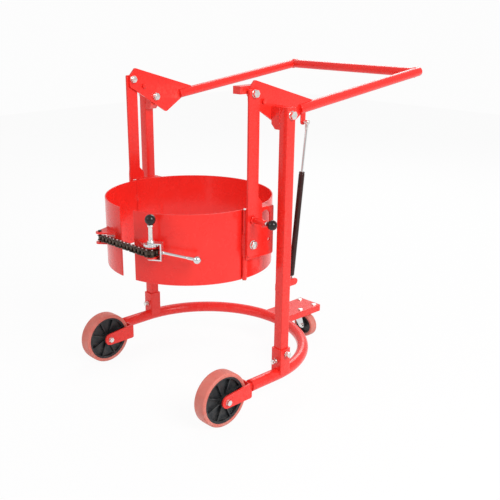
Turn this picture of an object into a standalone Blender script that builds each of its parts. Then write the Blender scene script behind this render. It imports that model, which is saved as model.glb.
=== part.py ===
# Drum lifter: a mobile carrier that grips a drum in a hinged clamp and raises it on a hand lever.
# Metres, +Z up. Lengths below count from the clamp's axis. The wheels roll on z = 0, and the handle points
# to +Y.
# The operator stands at +Y and faces -Y, so "left" is the +X side.
import math

import bmesh
import bpy
from mathutils import Matrix, Vector

# Gaps
CLEAR = 0.0003              # between pieces that touch
RUN = 0.0005                # between pieces that turn on each other
WELD = 0.001                # how far welded shapes run into each other

# Load and clamp
LOAD_DIAMETER = 0.581
BAND_FIT = 0.0005
BAND_WALL = 0.004
BAND_HEIGHT = 0.240
TRUNNION_Z = 0.600
BAND_DROP = 0.004           # trunnions to the band's middle
HINGE_STAND = 0.0055        # band's outside to the hinge pins, along X
HINGE_Y = -0.0145
HINGE_BARREL_DIAMETER = 0.016
HINGE_PIN_DIAMETER = 0.008
HINGE_PIN_HEAD = 0.0037
HINGE_PIN_HEAD_DIAMETER = 0.0128
WING_GAP_LEFT = 11.9        # degrees from the front to each wing's end, towards its own hinge
WING_GAP_RIGHT = -0.7

# Running gear
WHEEL_DIAMETER = 0.195
WHEEL_WIDTH = 0.050
TYRE_THICKNESS = 0.0135
WHEEL_INSET = 0.0275        # base tube's middle to the wheel's, along X
WHEEL_Y = -0.160
AXLE_DIAMETER = 0.012
HUB_DIAMETER = 0.042
RIM_WALL = 0.009
WEB_WALL = 0.020
RIB_WALL = 0.005
RIB_STEP = 0.004            # ribs lie this far below the rim's side
CHEEK_WALL = 0.006
CHEEK_GAP = 0.008           # tyre side to cheek
CHEEK_NOSE_RADIUS = 0.023
FORK_LENGTH = 0.111         # axle to the web's rear face
FORK_RISE = 0.015           # base tube's middle to the top of the cheeks' rear edge

# Base and posts
BASE_TUBE_DIAMETER = 0.0424
BASE_TUBE_DROP = 0.012      # deck's top to the tube's middle
BASE_BEND_Y = 0.077
POST_SIZE = 0.036
POST_CORNER_RADIUS = 0.0018
POST_STAND = 0.035          # lever plate's outside to the post
POST_Y = 0.102
POST_RISE = 0.0235          # lever's pivot to the post's top
SOCKET_WALL = 0.005
SOCKET_CORNER_RADIUS = 0.003
SOCKET_BOTTOM = 0.004       # heights above the base tube's middle
SOCKET_TOP = 0.098
FRONT_SCREW_HEIGHT = 0.053
SIDE_SCREW_HEIGHT = 0.081
SET_SCREW_DIAMETER = 0.010
SET_SCREW_FLATS = 0.017
SET_SCREW_REACH = 0.018     # past the socket's wall

# Caster deck and caster
DECK_WIDTH = 0.112
DECK_WALL = 0.005
DECK_HEIGHT = 0.028
CASTER_SETBACK = 0.165      # back of the base tube's middle line to the caster
DECK_OVERHANG = 0.065       # caster to the deck's rear edge
CASTER_STACK = 0.028        # caster wheel's top to the deck's top
CASTER_BOLT_X = 0.040
CASTER_BOLT_Y = 0.042
CASTER_BOLT_DIAMETER = 0.008
CASTER_BOLT_HEAD_DIAMETER = 0.017
CASTER_PLATE_LENGTH = 0.105
CASTER_WHEEL_DIAMETER = 0.100
CASTER_WHEEL_WIDTH = 0.032
CASTER_TYRE_THICKNESS = 0.012
CASTER_TRAIL = 0.034
CASTER_PLATE_WALL = 0.004
CASTER_LEG_WALL = 0.0035
CASTER_AXLE_DIAMETER = 0.008
KINGPIN_DIAMETER = 0.012

# Lever and handle
PIVOT_Z = 1.017
PIVOT_BOLT_DIAMETER = 0.016
LEVER_STAND = 0.0165        # load's side to the lever plate
LEVER_WALL = 0.008
HANG_Z = 1.0865
HANG_BOLT_DIAMETER = 0.016
LEVER_NOSE = 0.015          # front edge of the plates, ahead of the hang bolt
NOSE_TOP = 0.0125           # the front edge's ends, above and below the hang bolt
NOSE_BOTTOM = -0.0255
LEVER_CROWN = (0.010, 0.0395)       # y, z of the plates' highest corner, from the hang bolt
LEVER_HEEL = (0.048, -0.061)        # the other corners, from the pivot
TAIL_LOW = (0.120, -0.017)
TAIL_HIGH = (0.179, 0.026)
BOSS_DROP = 0.048           # pivot axis to the boss's underside
BOSS_CHAMFER = 0.016
STOP_BOLT_DIAMETER = 0.010
STOP_BOLT_Y = 0.047
STOP_BOLT_DROP = 0.0275     # below the hang bolt
RIM_BLOCK_REACH = 0.0165    # inwards past the load's side
RIM_BLOCK_LENGTH = 0.031    # ahead of the plate
RIM_BLOCK_HEIGHT = 0.024
RIM_BLOCK_RISE = 0.0235     # hang bolt to the block's top
RIM_TONGUE_HEIGHT = 0.010
RIM_TONGUE_Y = 0.030
HANDLE_TUBE_DIAMETER = 0.034
HANDLE_FRONT = 0.114        # pivot to the tubes' ends
HANDLE_REAR = 0.780
HANDLE_AXIS = (0.148, 0.005)        # y, z of a point on the tubes' axis, from the pivot
HANDLE_RISE = 6.8           # degrees
CROSS_TUBE_SETBACK = 0.024
SLOT_STOCK = 0.05           # the slot's cutter past the lever plate's rear edge

# Hanging links
LINK_WALL = 0.008
LINK_HALF_WIDTH = 0.0225
LINK_TOP = 0.0145           # above the hang bolt
LINK_WAIST = 0.157          # heights from the trunnion
LINK_FOOT_TOP = 0.138
LINK_FOOT_BOTTOM = -0.040
LINK_FOOT_FRONT = 0.0245
LINK_FOOT_REAR = 0.0405
TRUNNION_DIAMETER = 0.016
TRUNNION_REACH = 0.0125     # past the link's outer face

# Tilt index
INDEX_RADIUS = 0.084
INDEX_PIN_DIAMETER = 0.012
INDEX_HOUSING_DIAMETER = 0.020
INDEX_HOUSING_LENGTH = 0.058
INDEX_FLANGE = 0.006
INDEX_TRAVEL = 0.006
INDEX_KNOB_DIAMETER = 0.033
INDEX_KNOB_GAP = 0.006
BRACKET_WALL = 0.006
BRACKET_FRONT_Y = -0.020
BRACKET_BOTTOM = -0.052     # from the trunnion
BRACKET_MARGIN_REAR = 0.020     # past the index holes
BRACKET_MARGIN_TOP = 0.032
FLANGE_SETBACK = 0.006      # bracket's rear edge to the flanges'
FLANGE_OVERLAP = 0.008      # flange stock inside the band, before it is cut to it
WINDOW_HALF_WIDTH = 0.0215
WINDOW_HEIGHT = 0.0385
WINDOW_SETBACK = 0.0175     # window's middle ahead of the lower index hole
WINDOW_DROP = 0.0005        # window's arc below the upper index hole

# Chain closure
CHAIN_PITCH = 0.01905
CHAIN_SPAN = 13             # pitches from the anchor pin to the sprocket's tangent point
CHAIN_PLATE_RADIUS = 0.0086
CHAIN_PLATE_WALL = 0.0022
CHAIN_INNER_WIDTH = 0.0126
CHAIN_ROLLER_DIAMETER = 0.0119
CHAIN_PIN_DIAMETER = 0.0060
CHAIN_RISE = 0.004          # band's middle to the chain
CHAIN_BREAK = 6             # even: the link where the free chain bends
SPROCKET_TEETH = 6
SPROCKET_WIDTH = 0.011
TOOTH_HEIGHT = 0.0012       # tip above the rollers' circle
SPROCKET_ANGLE = 28.5       # degrees from the front, towards +X
CLOSURE_STAND = 0.040       # band's outside to the sprocket and anchor axes
LUG_WALL = 0.006
LUG_HALF_GAP = 0.0145
LUG_STRIP_WALL = 0.004
LUG_NOSE_LEFT = 0.018
LUG_NOSE_RIGHT = 0.014
CHAIN_PIN_HEAD = 0.0015
ANCHOR_HEAD_DIAMETER = 0.012
SHAFT_DIAMETER = 0.012
RATCHET_TEETH = 12
RATCHET_WHEEL_RADIUS = 0.024
RATCHET_WHEEL_WALL = 0.008
YOKE_WALL = 0.004
YOKE_NOSE_RADIUS = 0.013
YOKE_REACH = 0.037          # sprocket's axis to the yoke's web
YOKE_HALF_WIDTH = 0.015
RATCHET_HANDLE_ANGLE = 37.5  # degrees from +X
RATCHET_HANDLE_LENGTH = 0.150
RATCHET_HANDLE_DROP = 0.018
RATCHET_ROD_DIAMETER = 0.009
RATCHET_BALL_DIAMETER = 0.027
LIFT_COLLAR_DIAMETER = 0.023
LIFT_COLLAR_HEIGHT = 0.006
LIFT_ROD_DIAMETER = 0.015
LIFT_KNOB_DIAMETER = 0.035
LIFT_KNOB_Z = 0.107         # above the chain's plane

# Gas spring
GAS_SETBACK = 0.020         # post's inner face to the spring's axis
GAS_LOWER = (0.081, 0.434)  # y from the posts, z from the ground
GAS_UPPER = (0.136, -0.042)  # from the lever's pivot
GAS_CYLINDER_DIAMETER = 0.020
GAS_CYLINDER_LENGTH = 0.362
GAS_ROD_DIAMETER = 0.008
GAS_FITTING = 0.018         # eye to the cylinder's end
GAS_EYE_DIAMETER = 0.016
GAS_EYE_WIDTH = 0.012
GAS_STUD_DIAMETER = 0.008
GAS_LUG_WALL = 0.006
GAS_LUG_HALF_HEIGHT = 0.012
GAS_LUG_HALF_WIDTH = 0.010
ROD_END_GAP = 0.010         # rod's end to the bottom of its bore

# Worked out from the values above
load_radius = LOAD_DIAMETER / 2
band_in = load_radius + BAND_FIT
band_out = band_in + BAND_WALL
band_z = TRUNNION_Z - BAND_DROP
chain_z = band_z + CHAIN_RISE
hinge_x = band_out + HINGE_STAND
closure_radius = band_out + CLOSURE_STAND
lever_inner = load_radius + LEVER_STAND
lever_outer = lever_inner + LEVER_WALL
lever_x = lever_inner + LEVER_WALL / 2
link_inner = lever_outer + 2 * CLEAR
link_outer = link_inner + LINK_WALL
bracket_outer = link_inner - CLEAR
bracket_inner = bracket_outer - BRACKET_WALL
post_inner = lever_outer + POST_STAND
post_outer = post_inner + POST_SIZE
base_half_width = post_inner + POST_SIZE / 2
base_tube_radius = BASE_TUBE_DIAMETER / 2
deck_top_z = CASTER_WHEEL_DIAMETER + CASTER_STACK
deck_front_y = BASE_BEND_Y + base_half_width
caster_y = deck_front_y + CASTER_SETBACK
deck_rear_y = caster_y + DECK_OVERHANG
base_tube_z = deck_top_z - BASE_TUBE_DROP
base_front_y = WHEEL_Y + FORK_LENGTH
wheel_x = base_half_width - WHEEL_INSET
wheel_radius = WHEEL_DIAMETER / 2
axle_z = wheel_radius
post_top_z = PIVOT_Z + POST_RISE
handle_radius = HANDLE_TUBE_DIAMETER / 2
gas_x = post_inner - GAS_SETBACK
gas_lower = (POST_Y + GAS_LOWER[0], GAS_LOWER[1])
gas_upper = (POST_Y + GAS_UPPER[0], PIVOT_Z + GAS_UPPER[1])
sprocket_radius = CHAIN_PITCH / (2 * math.sin(math.pi / SPROCKET_TEETH))
closure_distance = math.hypot(CHAIN_SPAN * CHAIN_PITCH, sprocket_radius)
anchor_angle = SPROCKET_ANGLE - math.degrees(2 * math.asin(closure_distance / (2 * closure_radius)))


def at_front_angle(radius, degrees):
    """A point on a circle round the clamp's axis, the angle counted from -Y towards +X."""
    a = math.radians(degrees)
    return Vector((radius * math.sin(a), -radius * math.cos(a), 0))


sprocket_axis = at_front_angle(closure_radius, SPROCKET_ANGLE)
anchor_axis = at_front_angle(closure_radius, anchor_angle)
span_bearing = math.atan2(sprocket_axis.y - anchor_axis.y, sprocket_axis.x - anchor_axis.x)
span_bearing -= math.asin(sprocket_radius / closure_distance)

# Scene, collections and bodies
for old in list(bpy.data.objects):
    bpy.data.objects.remove(old)
parts = bpy.data.collections.new("drum_lifter")
cutters = bpy.data.collections.new("drum_lifter_cutters")
bpy.context.scene.collection.children.link(parts)
bpy.context.scene.collection.children.link(cutters)

place_of = {}
empty_of = {}


def body(name, place, parent=None):
    """An empty on a joint's axis, which carries the pieces that move with it."""
    empty = bpy.data.objects.new("axis_" + name, None)
    empty.empty_display_size = 0.05
    parts.objects.link(empty)
    place_of[name] = Vector(place)
    empty_of[name] = empty
    if parent:
        empty.parent = empty_of[parent]
        empty.location = place_of[name] - place_of[parent]
    else:
        empty.location = place_of[name]


def finish(name, colour, roughness, metallic):
    material = bpy.data.materials.new(name)
    material.use_nodes = True
    shader = material.node_tree.nodes["Principled BSDF"]
    shader.inputs["Base Color"].default_value = (*colour, 1)
    shader.inputs["Roughness"].default_value = roughness
    shader.inputs["Metallic"].default_value = metallic
    return material


red_paint = finish("red_paint", (0.80, 0.035, 0.028), 0.35, 0.0)
zinc = finish("zinc_plate", (0.72, 0.72, 0.74), 0.32, 0.9)
chain_steel = finish("oiled_chain_steel", (0.06, 0.045, 0.035), 0.4, 0.8)
black_plastic = finish("black_plastic", (0.015, 0.015, 0.016), 0.45, 0.0)
polyurethane = finish("red_polyurethane", (0.72, 0.20, 0.14), 0.5, 0.0)
cylinder_paint = finish("black_cylinder_paint", (0.03, 0.018, 0.016), 0.3, 0.2)
chrome = finish("polished_chrome", (0.80, 0.80, 0.82), 0.12, 1.0)


def part(name, mesh, owner, place, material, turn=(0, 0, 0)):
    """A named piece at a world place, on the body that carries it."""
    piece = bpy.data.objects.new(name, mesh)
    parts.objects.link(piece)
    piece.parent = empty_of[owner]
    piece.location = Vector(place) - place_of[owner]
    piece.rotation_euler = turn
    mesh.materials.clear()
    mesh.materials.append(material)
    return piece


def cutter(name, mesh, place=(0, 0, 0), turn=(0, 0, 0)):
    tool = bpy.data.objects.new("cutter_" + name, mesh)
    cutters.objects.link(tool)
    tool.parent = empty_of["root"]
    tool.location = place
    tool.rotation_euler = turn
    tool.hide_render = True
    tool.display_type = "WIRE"
    return tool


def combine(piece, tool, operation="DIFFERENCE", solver="EXACT"):
    modifier = piece.modifiers.new(tool.name, "BOOLEAN")
    modifier.operation = operation
    modifier.solver = solver
    modifier.object = tool


def evaluated_mesh(holder):
    """The shape of an object with its modifiers, as a closed mesh with its faces pointing out."""
    evaluated = holder.evaluated_get(bpy.context.evaluated_depsgraph_get())
    mesh = bpy.data.meshes.new_from_object(evaluated)
    bpy.data.objects.remove(holder)
    bm = bmesh.new()
    bm.from_mesh(mesh)
    bmesh.ops.remove_doubles(bm, verts=bm.verts, dist=0.000005)
    bmesh.ops.recalc_face_normals(bm, faces=bm.faces)
    bm.to_mesh(mesh)
    bm.free()
    return mesh


def holder_of(data):
    holder = bpy.data.objects.new("holder", data)
    cutters.objects.link(holder)
    return holder


def united(meshes, cuts=(), solver="EXACT"):
    """One solid from several that run into each other, less the cuts."""
    holder = holder_of(meshes[0])
    tools = [holder_of(mesh) for mesh in list(meshes[1:]) + list(cuts)]
    for place, tool in enumerate(tools):
        combine(holder, tool, "UNION" if place < len(meshes) - 1 else "DIFFERENCE", solver)
    mesh = evaluated_mesh(holder)
    for tool in tools:
        bpy.data.objects.remove(tool)
    return mesh


def moved(mesh, place=(0, 0, 0), turn=Matrix.Identity(4)):
    copy = mesh.copy()
    copy.transform(Matrix.Translation(place) @ turn)
    return copy


def mirrored(mesh, sign=-1):
    """The same solid, or for a negative sign the one on the other side of the plane x = 0."""
    copy = mesh.copy()
    if sign < 0:
        copy.transform(Matrix.Diagonal((-1, 1, 1, 1)))
        copy.flip_normals()
    return copy


def smooth(mesh, angle=35):
    mesh.shade_smooth()
    mesh.set_sharp_from_angle(angle=math.radians(angle))
    return mesh


# Meshes
ALONG_X = Matrix.Rotation(math.pi / 2, 4, "Y")
ALONG_Y = Matrix.Rotation(-math.pi / 2, 4, "X")
ALONG_Z = Matrix.Identity(4)


def mesh_of(bm):
    mesh = bpy.data.meshes.new("solid")
    bm.to_mesh(mesh)
    bm.free()
    return mesh


def block(low, high):
    size = Vector(high) - Vector(low)
    middle = (Vector(high) + Vector(low)) / 2
    bm = bmesh.new()
    bmesh.ops.create_cube(bm, size=1, matrix=Matrix.Translation(middle) @ Matrix.Diagonal((*size, 1)))
    return mesh_of(bm)


def rod(radius, low, high, along=ALONG_Z, centre=(0, 0, 0), sides=14):
    """A cylinder from low to high on its own axis through the centre."""
    place = Matrix.Translation(centre) @ along @ Matrix.Translation((0, 0, (low + high) / 2))
    bm = bmesh.new()
    bmesh.ops.create_cone(bm, cap_ends=True, segments=sides, radius1=radius, radius2=radius,
                          depth=high - low, matrix=place)
    return smooth(mesh_of(bm))


def ball(radius, centre, columns=14, rows=8):
    bm = bmesh.new()
    bmesh.ops.create_uvsphere(bm, u_segments=columns, v_segments=rows, radius=radius,
                              matrix=Matrix.Translation(centre))
    return smooth(mesh_of(bm), 60)


def tube_mesh(points, radius, resolution=5):
    data = bpy.data.curves.new("tube", "CURVE")
    data.dimensions = "3D"
    data.bevel_depth = radius
    data.bevel_resolution = resolution
    data.use_fill_caps = True
    spline = data.splines.new("POLY")
    spline.points.add(len(points) - 1)
    for point, place in zip(spline.points, points):
        point.co = (*place, 1)
    return smooth(evaluated_mesh(holder_of(data)))


def plate_mesh(outlines, low, high, facing="Z"):
    """A flat plate between two levels. The first outline is its edge and the others are holes."""
    data = bpy.data.curves.new("plate", "CURVE")
    data.dimensions = "2D"
    data.fill_mode = "BOTH"
    data.extrude = (high - low) / 2
    for outline in outlines:
        spline = data.splines.new("POLY")
        spline.points.add(len(outline) - 1)
        for point, place in zip(spline.points, outline):
            point.co = (place[0], place[1], 0, 1)
        spline.use_cyclic_u = True
    mesh = evaluated_mesh(holder_of(data))
    mesh.transform(Matrix.Translation((0, 0, (low + high) / 2)))
    if facing == "X":
        # the outline's x and y become y and z
        mesh.transform(Matrix(((0, 0, 1, 0), (1, 0, 0, 0), (0, 1, 0, 0), (0, 0, 0, 1))))
    if facing == "Y":
        # the outline's x and y become x and z, and the levels run towards -Y
        mesh.transform(Matrix(((1, 0, 0, 0), (0, 0, -1, 0), (0, 1, 0, 0), (0, 0, 0, 1))))
    return mesh


def circle(centre, radius, sides=12):
    return [(centre[0] + radius * math.cos(2 * math.pi * k / sides),
             centre[1] + radius * math.sin(2 * math.pi * k / sides)) for k in range(sides)]


def arc(centre, radius, start, stop, steps):
    """Points on an arc, the angles in degrees from the outline's first axis."""
    angles = [math.radians(start + (stop - start) * k / steps) for k in range(steps + 1)]
    return [(centre[0] + radius * math.cos(a), centre[1] + radius * math.sin(a)) for a in angles]


def rounded(corners, radii, steps=3):
    """An outline with an arc of the given radius at each corner."""
    outline = []
    for k, (corner, radius) in enumerate(zip(corners, radii)):
        here = Vector(corner)
        if radius <= 0:
            outline.append(tuple(here))
            continue
        back = (Vector(corners[k - 1]) - here).normalized()
        ahead = (Vector(corners[(k + 1) % len(corners)]) - here).normalized()
        half = back.angle(ahead) / 2
        centre = here + (back + ahead).normalized() * (radius / math.sin(half))
        start = here + back * (radius / math.tan(half)) - centre
        stop = here + ahead * (radius / math.tan(half)) - centre
        first = math.atan2(start.y, start.x)
        sweep = math.atan2(stop.y, stop.x) - first
        sweep = (sweep + math.pi) % (2 * math.pi) - math.pi
        for step in range(steps + 1):
            a = first + sweep * step / steps
            outline.append((centre.x + radius * math.cos(a), centre.y + radius * math.sin(a)))
    return outline


def turned_mesh(profile, steps, angle=35):
    """A closed profile of (radius, height) turned round the Z axis."""
    mesh = bpy.data.meshes.new("profile")
    edges = [(k, (k + 1) % len(profile)) for k in range(len(profile))]
    mesh.from_pydata([(x, 0, z) for x, z in profile], edges, [])
    holder = holder_of(mesh)
    modifier = holder.modifiers.new("turned", "SCREW")
    modifier.axis = "Z"
    modifier.steps = steps
    modifier.render_steps = steps
    modifier.use_merge_vertices = True
    modifier.merge_threshold = 0.00001
    return smooth(evaluated_mesh(holder), angle)


def across(flats):
    """The radius of a hexagon from the distance across its flats."""
    return flats / math.sqrt(3)


def bolt(shank, length, flats, head, nut=0, washer=0.002):
    """A bolt along +Z: its washer seats on z = 0 and the far one at z = length."""
    shapes = [rod(shank, -washer - 0.001, length + washer + nut + 0.003, sides=10),
              rod(across(flats), -washer - head, -washer, sides=6),
              rod(flats * 0.58, -washer - 0.0002, 0, sides=10)]
    if nut:
        shapes += [rod(flats * 0.58, length, length + washer, sides=10),
                   rod(across(flats), length + washer - 0.0002, length + washer + nut, sides=6)]
    return united(shapes)


# Bodies: one for each set of pieces that moves together
body("root", (0, 0, 0))
body("lever", (0, POST_Y, PIVOT_Z), "root")
body("hanger", (0, 0, HANG_Z), "lever")
body("index_pin", (link_outer, 0, TRUNNION_Z + INDEX_RADIUS), "hanger")
body("clamp", (0, 0, TRUNNION_Z), "hanger")
body("left_wing", (hinge_x, HINGE_Y, band_z), "clamp")
body("right_wing", (-hinge_x, HINGE_Y, band_z), "clamp")
sprocket_place = sprocket_axis + Vector((0, 0, chain_z))
anchor_place = anchor_axis + Vector((0, 0, chain_z))
body("ratchet_handle", sprocket_place, "left_wing")
body("lift_pin", sprocket_place, "ratchet_handle")
body("sprocket", sprocket_place, "left_wing")
body("left_wheel", (wheel_x, WHEEL_Y, axle_z), "root")
body("right_wheel", (-wheel_x, WHEEL_Y, axle_z), "root")
body("caster_swivel", (0, caster_y, 0), "root")
caster_axle = (CASTER_TRAIL, caster_y, CASTER_WHEEL_DIAMETER / 2)
body("caster_wheel", caster_axle, "caster_swivel")
body("gas_cylinder", (gas_x, *gas_lower), "root")
body("gas_rod", (gas_x, *gas_upper), "gas_cylinder")
body("chain_first", anchor_place, "right_wing")


# Base frame
def base_route(bend_steps=26):
    """The bent tube's centre line: two straight runs and a half circle round the drum's back."""
    front = base_front_y + CLEAR
    bend = [(x, y, base_tube_z) for x, y in arc((0, BASE_BEND_Y), base_half_width, 0, 180, bend_steps)]
    return [(base_half_width, front, base_tube_z)] + bend + [(-base_half_width, front, base_tube_z)]


part("base_tube", tube_mesh(base_route(), base_tube_radius), "root", (0, 0, 0), red_paint)
base_tube_space = cutter("base_tube_space", tube_mesh(base_route(), base_tube_radius + CLEAR))

fork_rise = base_tube_z + FORK_RISE - axle_z
inner_cheek = WHEEL_WIDTH / 2 + CHEEK_GAP


def fork(side, sign):
    """Two cheeks round the wheel, and the web that the base tube butts against."""
    nose = CHEEK_NOSE_RADIUS
    edge = arc((0, 0), nose, 90, 270, 8)[1:-1]
    edge += rounded([(0, -nose), (FORK_LENGTH, -nose), (FORK_LENGTH, fork_rise), (0, nose)],
                    [0, 0.006, 0.003, 0])
    hole = circle((0, 0), AXLE_DIAMETER / 2 + CLEAR)
    cheeks = [plate_mesh([edge, hole], level, level + CHEEK_WALL, "X")
              for level in (inner_cheek, -inner_cheek - CHEEK_WALL)]
    web = block((-inner_cheek - 0.001, FORK_LENGTH - CHEEK_WALL, 0.006 - nose),
                (inner_cheek + 0.001, FORK_LENGTH, fork_rise - 0.003))
    part("front_fork_" + side, united([web] + cheeks), "root", (sign * wheel_x, WHEEL_Y, axle_z), red_paint)


fork("left", 1)
fork("right", -1)

# Posts in their sockets, each with the lever's pivot boss welded on
socket_inner = POST_SIZE / 2 + CLEAR
socket_outer = socket_inner + SOCKET_WALL
socket_bottom_z = base_tube_z + SOCKET_BOTTOM
socket_top_z = base_tube_z + SOCKET_TOP
front_screw_z = base_tube_z + FRONT_SCREW_HEIGHT
side_screw_z = base_tube_z + SIDE_SCREW_HEIGHT
post_bottom = base_tube_z + base_tube_radius + CLEAR
pivot_hole = PIVOT_BOLT_DIAMETER / 2 + CLEAR
screw_hole = SET_SCREW_DIAMETER / 2 + CLEAR


def square(half, radius=0.0):
    corners = [(half, half), (-half, half), (-half, -half), (half, -half)]
    return rounded(corners, [radius] * 4, 3)


def pivot_boss():
    """The block between the left post and the lever plate, with its lower inner corner cut off."""
    inner = lever_outer + CLEAR
    outer = post_inner + WELD
    low = PIVOT_Z - BOSS_DROP
    edge = [(outer, low), (outer, post_top_z), (inner, post_top_z),
            (inner, low + BOSS_CHAMFER), (inner + BOSS_CHAMFER, low)]
    return moved(plate_mesh([edge], -POST_SIZE / 2, POST_SIZE / 2, "Y"), (0, POST_Y, 0))


def gas_lower_lug():
    """The plate on the left post's inner face that carries the gas spring's lower eye."""
    front = POST_Y - GAS_LUG_HALF_HEIGHT
    y, z = gas_lower
    edge = [(front, z - GAS_LUG_HALF_HEIGHT)] + arc((y, z), GAS_LUG_HALF_HEIGHT, -90, 90, 8)
    edge.append((front, z + GAS_LUG_HALF_HEIGHT))
    return plate_mesh([edge], post_inner - GAS_LUG_WALL, post_inner + WELD, "X")


def post(side, sign):
    half = POST_SIZE / 2
    foot = (base_half_width, POST_Y, 0)
    tube = plate_mesh([square(half, POST_CORNER_RADIUS)], post_bottom, post_top_z)
    shapes = [moved(tube, foot), pivot_boss()]
    if side == "left":
        shapes.append(gas_lower_lug())
    bore = rod(pivot_hole, -1, 1, ALONG_X, (0, POST_Y, PIVOT_Z))
    part("post_" + side, mirrored(united(shapes, [bore]), sign), "root", (0, 0, 0), red_paint)

    place = (sign * base_half_width, POST_Y, 0)
    socket_edges = [square(socket_outer, SOCKET_CORNER_RADIUS), square(socket_inner)]
    socket_shape = plate_mesh(socket_edges, socket_bottom_z, socket_top_z)
    socket = part("post_socket_" + side, socket_shape, "root", place, red_paint)
    combine(socket, base_tube_space)
    front_hole = rod(screw_hole, -2 * socket_outer, 0, ALONG_Y, (0, 0, front_screw_z), 12)
    side_hole = rod(screw_hole, 0, 2 * socket_outer, ALONG_X, (0, 0, side_screw_z), 12)
    combine(socket, cutter("front_screw_hole_" + side, front_hole, place))
    combine(socket, cutter("side_screw_hole_" + side, mirrored(side_hole, sign), place))


post("left", 1)
post("right", -1)

# Screws that clamp each post in its socket
screw = united([rod(SET_SCREW_DIAMETER / 2, CLEAR, SOCKET_WALL + 0.004, sides=12),
                rod(SET_SCREW_DIAMETER * 0.62, SOCKET_WALL + 2 * CLEAR, SOCKET_WALL + 0.011, sides=12),
                rod(across(SET_SCREW_FLATS), SOCKET_WALL + 0.010, SOCKET_WALL + SET_SCREW_REACH, sides=6)])
for side, sign in (("left", 1), ("right", -1)):
    x = sign * base_half_width
    part("front_screw_" + side, moved(screw, turn=ALONG_Y.inverted()), "root",
         (x, POST_Y - POST_SIZE / 2, front_screw_z), zinc)
    part("side_screw_" + side, moved(screw, turn=ALONG_X if sign > 0 else ALONG_X.inverted()), "root",
         (sign * post_outer, POST_Y, side_screw_z), zinc)


def bolt_pair(name, shape, owner, start, y, z):
    """A bolt on each side, its head outside at x = start and its thread towards the middle."""
    part(name + "_left", moved(shape, turn=ALONG_X.inverted()), owner, (start, y, z), zinc)
    part(name + "_right", moved(shape, turn=ALONG_X), owner, (-start, y, z), zinc)


pivot_length = post_outer - lever_inner + 2 * CLEAR
bolt_pair("lever_pivot_bolt", bolt(PIVOT_BOLT_DIAMETER / 2, pivot_length, 0.024, 0.010, 0.008),
          "root", post_outer + CLEAR, POST_Y, PIVOT_Z)

# Lever plates, handle and the block that the drum's rim meets
tail_low = Vector((POST_Y + TAIL_LOW[0], PIVOT_Z + TAIL_LOW[1]))
tail_high = Vector((POST_Y + TAIL_HIGH[0], PIVOT_Z + TAIL_HIGH[1]))
stop_z = HANG_Z - STOP_BOLT_DROP
lever_edge = rounded([(LEVER_CROWN[0], HANG_Z + LEVER_CROWN[1]), (-LEVER_NOSE, HANG_Z + NOSE_TOP),
                      (-LEVER_NOSE, HANG_Z + NOSE_BOTTOM), (POST_Y + LEVER_HEEL[0], PIVOT_Z + LEVER_HEEL[1]),
                      tail_low, tail_high], [0.006, 0.010, 0.010, 0.010, 0.004, 0.004], 3)
lever_holes = [circle((POST_Y, PIVOT_Z), pivot_hole), circle((0, HANG_Z), HANG_BOLT_DIAMETER / 2 + CLEAR),
               circle((STOP_BOLT_Y, stop_z), STOP_BOLT_DIAMETER / 2 + CLEAR)]
rim_inner = load_radius - RIM_BLOCK_REACH
rim_top = HANG_Z + RIM_BLOCK_RISE
rim_block = block((rim_inner, -LEVER_NOSE - RIM_BLOCK_LENGTH, rim_top - RIM_BLOCK_HEIGHT),
                  (lever_inner + WELD, 1.5 * WELD - LEVER_NOSE, rim_top))
rim_tongue = block((rim_inner, -LEVER_NOSE, rim_top - RIM_TONGUE_HEIGHT),
                   (lever_inner + WELD, RIM_TONGUE_Y, rim_top))
lever_plate = plate_mesh([lever_edge] + lever_holes, lever_inner, lever_outer, "X")
part("lever_plate_left", united([lever_plate, rim_block, rim_tongue]), "lever", (0, 0, 0), red_paint)
lever_plate = plate_mesh([lever_edge] + lever_holes, lever_inner, lever_outer, "X")
part("lever_plate_right", mirrored(lever_plate), "lever", (0, 0, 0), red_paint)

handle_slope = math.radians(HANDLE_RISE)
handle_front_y = POST_Y + HANDLE_FRONT
handle_rear_y = POST_Y + HANDLE_REAR


def handle_z(y):
    return PIVOT_Z + HANDLE_AXIS[1] + math.tan(handle_slope) * (y - POST_Y - HANDLE_AXIS[0])


def handle_tube(radius, sign, extra=0):
    ends = [(sign * lever_x, y, handle_z(y)) for y in (handle_front_y - extra, handle_rear_y + extra)]
    return tube_mesh(ends, radius)


def gas_upper_lug():
    """The plate under the left handle tube that carries the gas spring's upper eye."""
    y, z = gas_upper
    edge = arc((y, z), GAS_LUG_HALF_WIDTH, -180, 0, 6)
    edge += [(y + GAS_LUG_HALF_WIDTH, handle_z(y)), (y - GAS_LUG_HALF_WIDTH, handle_z(y))]
    return plate_mesh([edge], lever_x - GAS_LUG_WALL / 2, lever_x + GAS_LUG_WALL / 2, "X")


# the slot takes the lever plate's rear edge, from its lower corner to its upper one
edge_run = (tail_high - tail_low).normalized()
edge_gap = Vector((edge_run.y, -edge_run.x)) * (2 * CLEAR)
slot_edge = [tuple(tail_high + edge_run * SLOT_STOCK + edge_gap), (POST_Y, tail_high.y + SLOT_STOCK),
             (POST_Y, tail_low.y - SLOT_STOCK), tuple(tail_low - edge_run * SLOT_STOCK + edge_gap)]
for side, sign in (("left", 1), ("right", -1)):
    slot = mirrored(plate_mesh([slot_edge], lever_inner - CLEAR, lever_outer + CLEAR, "X"), sign)
    tube = handle_tube(handle_radius, sign)
    if side == "left":
        tube = united([tube, gas_upper_lug()])
    piece = part("handle_tube_" + side, tube, "lever", (0, 0, 0), red_paint)
    combine(piece, cutter("handle_slot_" + side, slot))

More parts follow.
